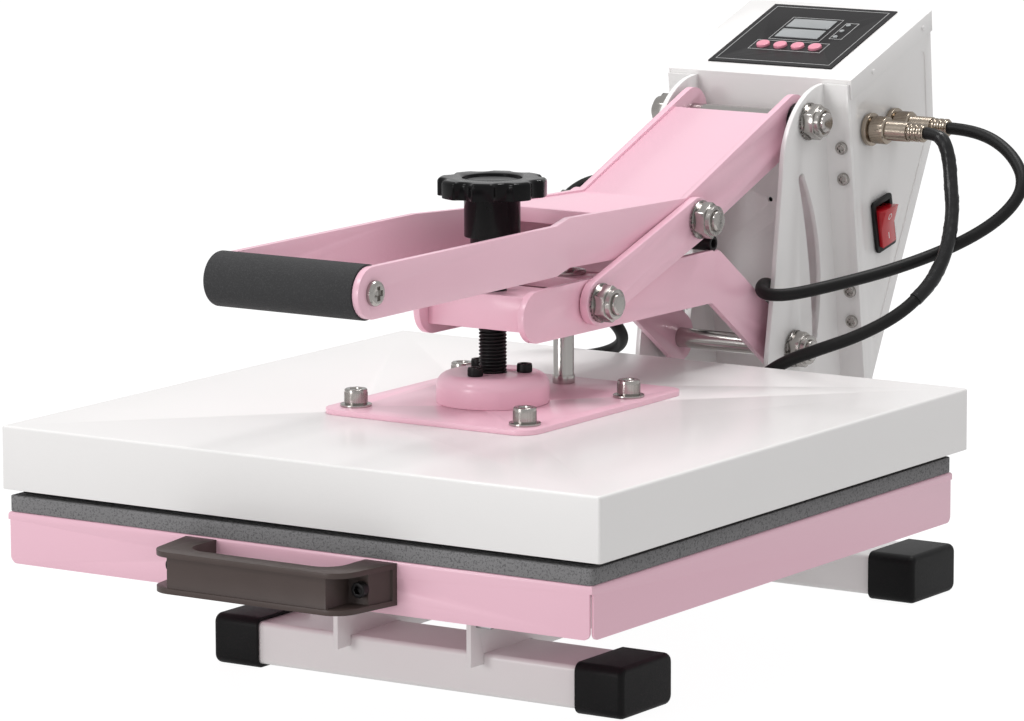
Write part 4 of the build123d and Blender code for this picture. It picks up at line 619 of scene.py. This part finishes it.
def threaded_rod(name, low, high, crest, root, pitch, material, around=28, rows=8):
    steps = int((high - low) / pitch * rows)
    points = []
    for level in range(steps + 1):
        z = low + (high - low) * level / steps
        for step in range(around):
            turn = step / around
            phase = (z / pitch - turn) % 1
            radius = root + (crest - root) * min(1, FLANK_SLOPE * (1 - abs(2 * phase - 1)))
            angle = 2 * math.pi * turn
            points.append(at(radius * math.cos(angle), radius * math.sin(angle), z))
    faces = []
    for level in range(steps):
        for step in range(around):
            after = (step + 1) % around
            low_row = level * around
            high_row = low_row + around
            faces.append((low_row + step, low_row + after, high_row + after, high_row + step))
    faces.append(tuple(reversed(range(around))))
    faces.append(tuple(steps * around + step for step in range(around)))
    mesh = bpy.data.meshes.new(name)
    mesh.from_pydata([tuple(point) for point in points], [], faces)
    mesh.materials.append(material)
    piece = bpy.data.objects.new(name, mesh)
    bpy.context.scene.collection.objects.link(piece)
    mesh.shade_smooth()
    mesh.set_sharp_from_angle(angle=ROUND_SHARP_ANGLE)
    return piece


thread = threaded_rod("height_screw_thread", SCREW_FOOT, SCREW_HEAD, THREAD_CREST, THREAD_ROOT,
                      THREAD_PITCH, BLACK_OXIDE)
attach(thread, "height_knob")
print("thread faces:", len(thread.data.polygons))

# %% [markdown]
# The panel and the switch carry a few plain marks: a ring and a bar on the rocker for off
# and on, and thin frames printed on the film. Each mark is a thin raised shape that lies on
# its surface, placed in that surface's own directions.


# %% Plain marks
def flat_marks(name, body, origin, along, upward, outlines, height, material):
    # Each outline is a ring of points (along, upward) or a pair of rings, outer and inner
    normal = along.cross(upward).normalized()
    shape = bmesh.new()
    for outer, inner in outlines:
        lifts = (0.0, height)
        rows = []
        for loop in (outer, inner):
            if loop is None:
                continue
            rows.append([[shape.verts.new(origin + along * a + upward * b + normal * lift) for a, b in loop]
                         for lift in lifts])
        count = len(outer)
        for index in range(count):
            after = (index + 1) % count
            base, top = rows[0]
            shape.faces.new((base[index], base[after], top[after], top[index]))
            if inner is not None:
                inner_base, inner_top = rows[1]
                shape.faces.new((inner_base[after], inner_base[index], inner_top[index], inner_top[after]))
                shape.faces.new((top[index], top[after], inner_top[after], inner_top[index]))
                shape.faces.new((base[after], base[index], inner_base[index], inner_base[after]))
        if inner is None:
            shape.faces.new(rows[0][1])
            shape.faces.new(list(reversed(rows[0][0])))
    bmesh.ops.recalc_face_normals(shape, faces=shape.faces)
    mesh = bpy.data.meshes.new(name)
    shape.to_mesh(mesh)
    shape.free()
    mesh.materials.append(material)
    piece = bpy.data.objects.new(name, mesh)
    bpy.context.scene.collection.objects.link(piece)
    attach(piece, body)
    return piece


def rectangle(left, front, right, rear):
    return [(left, front), (right, front), (right, rear), (left, rear)]


def oval(centre, wide, tall, count=24):
    turns = [2 * math.pi * step / count for step in range(count)]
    return [(centre[0] + wide * math.cos(turn), centre[1] + tall * math.sin(turn)) for turn in turns]


def framed(left, front, right, rear, line=0.0005):
    inner = rectangle(left + line, front + line, right - line, rear - line)
    return rectangle(left, front, right, rear), inner


LID_FRONT_Y = 0.2925
LID_FRONT_Z = 0.311
LID_REAR_Y = 0.391
LID_REAR_Z = 0.3445
FILM_THICK = 0.0008
PRINT_THICK = 0.00012
lid_angle = math.atan2(LID_REAR_Z - LID_FRONT_Z, LID_REAR_Y - LID_FRONT_Y)
lid_along = Vector((1, 0, 0))
lid_upward = Vector((0, math.cos(lid_angle), math.sin(lid_angle)))
lid_normal = lid_along.cross(lid_upward)
lid_origin = at(0, LID_FRONT_Y, LID_FRONT_Z) + lid_normal * FILM_THICK
PRINT = [framed(-0.040, 0.0165, 0.040, 0.0945), framed(-0.0205, 0.0480, 0.0155, 0.0805),
         framed(0.0195, 0.0530, 0.0285, 0.0765), framed(-0.0265, 0.0325, 0.0245, 0.0460)]
flat_marks("panel_print", "stand", lid_origin, lid_along, lid_upward, PRINT, PRINT_THICK, PRINT_GREY)

# The rocker's own axis lies under the right wall of the box
BOX_HALF = 0.063
ROCKER_DEPTH = 0.004
ROCKER_Y = 0.3343
ROCKER_Z = 0.2198
ROCKER_TILT = math.radians(12)
ROCKER_HALF_THROW = math.radians(10)
ROCKER_MIDDLE = 0.0077
MARK_THICK = 0.0001
rocker_across = Vector((0, math.cos(ROCKER_TILT), math.sin(ROCKER_TILT)))
rocker_up = Vector((0, -math.sin(ROCKER_TILT), math.cos(ROCKER_TILT)))
rocker_axis = at(BOX_HALF - ROCKER_DEPTH, ROCKER_Y, ROCKER_Z)


def rocker_face(slope):
    # The face's direction and the place of its root on the switch's axis, both turned with the rocker
    outward = Vector((1, 0, 0))
    lean = slope + ROCKER_HALF_THROW
    root = rocker_axis + outward * (ROCKER_MIDDLE * math.cos(ROCKER_HALF_THROW))
    root -= rocker_up * (ROCKER_MIDDLE * math.sin(ROCKER_HALF_THROW))
    return root, rocker_up * math.cos(lean) + outward * math.sin(lean)


upper_root, upper_way = rocker_face(ROCKER_HALF_THROW)
lower_root, lower_way = rocker_face(-ROCKER_HALF_THROW)
RING_PLACE = (0, 0.0062)
RING = (oval(RING_PLACE, 0.0019, 0.0021), oval(RING_PLACE, 0.0014, 0.0016))
BAR = (rectangle(-0.0003, -0.0082, 0.0003, -0.0044), None)
flat_marks("rocker_off_mark", "rocker", upper_root, rocker_across, upper_way, [RING], MARK_THICK,
           MARK_WHITE)
flat_marks("rocker_on_mark", "rocker", lower_root, rocker_across, lower_way, [BAR], MARK_THICK,
           MARK_WHITE)
print("marks made")

# %% [markdown]
# Two leads run from screw plugs on the box to the heated platen. Each is a rubber jacket
# 7.5 mm thick that keeps its own spring, so it swings out in a loop. A curve through the
# same points as the solid tube gives one smooth line with no bent-wire corners.

# %% Leads
LEAD_DIAMETER = 0.0075
FRONT_LEAD = [
    (102.0, 317.0, 279.0), (110.0, 317.0, 279.0), (117.0, 315.5, 273.0), (121.5, 311.5, 262.0),
    (126.5, 305.0, 250.0), (133.0, 295.0, 233.5), (137.0, 283.0, 219.5), (138.0, 271.0, 205.5),
    (135.0, 256.0, 192.5), (126.0, 241.0, 180.0), (108.0, 226.5, 168.5), (88.0, 216.0, 160.5),
    (66.0, 209.0, 151.5), (47.0, 207.5, 137.0), (30.0, 207.5, 137.0)]
REAR_LEAD = [
    (102.0, 346.0, 279.0), (122.0, 346.0, 279.0), (147.0, 342.0, 268.0), (163.0, 331.0, 251.0),
    (157.0, 317.0, 233.5), (137.6, 299.2, 217.4), (110.5, 268.8, 203.7), (80.0, 236.3, 194.2),
    (63.0, 223.0, 190.0), (52.0, 219.0, 189.5), (44.5, 221.5, 190.5), (40.6, 228.5, 193.0),
    (38.8, 237.0, 193.5), (38.4, 247.0, 189.0), (38.0, 259.0, 181.0), (34.0, 272.0, 174.0),
    (24.0, 282.0, 170.5), (0.0, 286.0, 170.0), (-28.0, 284.0, 175.0), (-38.8, 272.0, 187.0),
    (-39.2, 254.0, 205.0), (-39.5, 240.0, 225.0),
    (-40.5, 231.0, 247.0), (-52.0, 213.0, 253.0), (-66.0, 197.0, 251.0), (-78.0, 186.0, 236.0),
    (-82.0, 184.0, 213.0), (-76.0, 191.0, 190.0), (-64.0, 205.0, 174.0), (-56.0, 219.0, 164.0),
    (-60.0, 236.0, 150.0), (-78.0, 246.0, 140.0), (-97.0, 237.0, 136.5), (-104.0, 221.0, 137.0),
    (-104.0, 210.0, 137.0)]


def lead_line(name, route):
    curve = bpy.data.curves.new(name, "CURVE")
    curve.dimensions = "3D"
    curve.resolution_u = 10
    spline = curve.splines.new("NURBS")
    spline.points.add(len(route) - 1)
    for point, (x, y, z) in zip(spline.points, route):
        point.co = (*at(x / 1000, y / 1000, z / 1000), 1)
    spline.order_u = 3
    spline.use_endpoint_u = True
    line = bpy.data.objects.new(name, curve)
    bpy.context.scene.collection.objects.link(line)
    return line


def line_points(line):
    graph = bpy.context.evaluated_depsgraph_get()
    mesh = bpy.data.meshes.new_from_object(line.evaluated_get(graph), depsgraph=graph)
    points = [vertex.co.copy() for vertex in mesh.vertices]
    bpy.data.meshes.remove(mesh)
    bpy.data.objects.remove(line)
    return points


def tube_along(name, points, radius, material, sides=20):
    shape = bmesh.new()
    layer = shape.loops.layers.uv.new("UVMap")
    side = Vector((0, 0, 1)).cross(points[1] - points[0]).normalized()
    hoops = []
    run = [0.0]
    for index, point in enumerate(points):
        ahead = points[min(index + 1, len(points) - 1)] - points[max(index - 1, 0)]
        ahead.normalize()
        side = (side - ahead * side.dot(ahead)).normalized()
        over = ahead.cross(side)
        hoop = []
        for step in range(sides):
            turn = 2 * math.pi * step / sides
            hoop.append(shape.verts.new(point + (side * math.cos(turn) + over * math.sin(turn)) * radius))
        hoops.append(hoop)
        if index:
            run.append(run[-1] + (point - points[index - 1]).length)
    for row, (low, high) in enumerate(zip(hoops, hoops[1:])):
        for step in range(sides):
            after = (step + 1) % sides
            face = shape.faces.new((low[step], low[after], high[after], high[step]))
            places = ((step, row), (step + 1, row), (step + 1, row + 1), (step, row + 1))
            for loop, (around, along) in zip(face.loops, places):
                loop[layer].uv = (around / sides, run[along])
    shape.faces.new(reversed(hoops[0]))
    shape.faces.new(hoops[-1])
    bmesh.ops.recalc_face_normals(shape, faces=shape.faces)
    mesh = bpy.data.meshes.new(name)
    shape.to_mesh(mesh)
    shape.free()
    mesh.materials.append(material)
    mesh.shade_smooth()
    mesh.set_sharp_from_angle(angle=ROUND_SHARP_ANGLE)
    piece = bpy.data.objects.new(name, mesh)
    bpy.context.scene.collection.objects.link(piece)
    return piece, run[-1]


# %% [markdown]
# The upper half of the front lead wears a shrunk sleeve. It is a thin tube round the
# jacket whose skin is pressed into soft creases, so each point moves out by a slow wave
# along and around it, taken from the places that the tube already has.


# %% Sleeve, and both leads made
SLEEVE_START = 8
SLEEVE_END = 84
SLEEVE_SKIN = 0.0004
CREASE = 0.00045
CREASE_TURN = 420


def shrink_sleeve(name, points):
    sleeve, length = tube_along(name, points, LEAD_DIAMETER / 2 + SLEEVE_SKIN, SHRINK_SLEEVE)
    for vertex in sleeve.data.vertices:
        nearest = min(points, key=lambda place: (place - vertex.co).length)
        spoke = (vertex.co - nearest).normalized()
        along = nearest.z * CREASE_TURN
        wave = math.sin(along + 7 * spoke.x) * math.sin(1.7 * along - 5 * spoke.y + 3 * spoke.z)
        vertex.co += spoke * (CREASE * max(0.0, wave))
    sleeve.data.update()
    print("sleeve", round(length, 3), "m")
    return sleeve


STILL_END = at(0, 0.300, 0.250)
MOVING_END = at(0, 0.215, 0.150)
for name, node, route in (("front_lead", "lead_front", FRONT_LEAD), ("rear_lead", "lead_rear", REAR_LEAD)):
    points = line_points(lead_line(name + "_line", route))
    piece, length = tube_along(name, points, LEAD_DIAMETER / 2, LEAD_JACKET)
    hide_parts(node)
    on_lead = [piece]
    if node == "lead_front":
        on_lead.append(shrink_sleeve("lead_sleeve", points[SLEEVE_START:SLEEVE_END]))
    for part in on_lead:
        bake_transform(part)
    print(name, "length", round(length, 3), "m")

# %% [markdown]
# The studio is a white sweep with a round lamp high at the front left, a low one before the
# press, one above it and a wide, faint one at the right. The camera sees a pure white sky
# and floor. Every other ray sees an even mix of that white and a dimmer sky or a grey
# floor, so pale paint keeps its tone.

# %% Floor, sky and lamps
SKY_LEVEL = 0.24
WHITE_LEVEL = 1.0
FLOOR_LIFT = 1.42
FLOOR_SHARE = 0.68
FLOOR_GREY = 0.28
FLOOR_HALF = 8
FLOOR_DROP = 0.0002
BRIGHT_SHARE = 0.5


def white_to_the_eye(shader_tree, dim, bright):
    path = shader_tree.nodes.new("ShaderNodeLightPath")
    share = shader_tree.nodes.new("ShaderNodeMath")
    share.operation = "MAXIMUM"
    share.inputs[1].default_value = BRIGHT_SHARE
    shader_tree.links.new(path.outputs["Is Camera Ray"], share.inputs[0])
    mixed = shader_tree.nodes.new("ShaderNodeMixShader")
    shader_tree.links.new(share.outputs[0], mixed.inputs[0])
    shader_tree.links.new(dim, mixed.inputs[1])
    shader_tree.links.new(bright, mixed.inputs[2])
    return mixed.outputs[0]


world = bpy.data.worlds.new("studio")
bpy.context.scene.world = world
world.use_nodes = True
sky = world.node_tree
glow = sky.nodes["Background"]
glow.inputs["Color"].default_value = (1, 1, 1, 1)
glow.inputs["Strength"].default_value = SKY_LEVEL
white = sky.nodes.new("ShaderNodeBackground")
white.inputs["Color"].default_value = (1, 1, 1, 1)
white.inputs["Strength"].default_value = WHITE_LEVEL
sky_out = white_to_the_eye(sky, glow.outputs[0], white.outputs[0])
sky.links.new(sky_out, sky.nodes["World Output"].inputs["Surface"])

floor_mesh = bpy.data.meshes.new("floor")
corners = [(x * FLOOR_HALF, y * FLOOR_HALF, -FLOOR_DROP) for x, y in ((-1, -1), (1, -1), (1, 1), (-1, 1))]
floor_mesh.from_pydata(corners, [], [(0, 1, 2, 3)])
floor = bpy.data.objects.new("floor", floor_mesh)
bpy.context.scene.collection.objects.link(floor)
floor_shader = Shader("pale_floor")
floor_shader.set(Base_Color=(FLOOR_GREY, FLOOR_GREY, FLOOR_GREY, 1), Roughness=0.7)
floor_tree = floor_shader.material.node_tree
lift = floor_tree.nodes.new("ShaderNodeEmission")
lift.inputs["Strength"].default_value = FLOOR_LIFT
half_lift = floor_tree.nodes.new("ShaderNodeMixShader")
half_lift.inputs[0].default_value = FLOOR_SHARE
floor_tree.links.new(floor_shader.surface.outputs[0], half_lift.inputs[1])
floor_tree.links.new(lift.outputs[0], half_lift.inputs[2])
floor_out = white_to_the_eye(floor_tree, floor_shader.surface.outputs[0], half_lift.outputs[0])
floor_tree.links.new(floor_out, floor_tree.nodes["Material Output"].inputs["Surface"])
floor_mesh.materials.append(floor_shader.material)


def lamp(name, place, target, size, power):
    data = bpy.data.lights.new(name, "AREA")
    data.shape = "DISK"
    data.size = size
    data.energy = power
    made = bpy.data.objects.new(name, data)
    aim = (Vector(target) - Vector(place)).to_track_quat("-Z", "Y")
    made.matrix_world = Matrix.Translation(Vector(place)) @ aim.to_matrix().to_4x4()
    bpy.context.scene.collection.objects.link(made)


lamp("key_lamp", (-1.3, -1.9, 2.6), target=(0, 0, 0.15), size=1.0, power=25)
lamp("low_front_lamp", (-0.9, -3.0, 0.5), target=(0, 0, 0.1), size=0.9, power=17)
lamp("fill_lamp", (2.6, -1.0, 1.4), target=(0, 0, 0.15), size=1.6, power=0.5)
lamp("top_lamp", (0.1, 0.8, 2.8), target=(0, 0.1, 0.15), size=1.0, power=42)
print("studio ready")
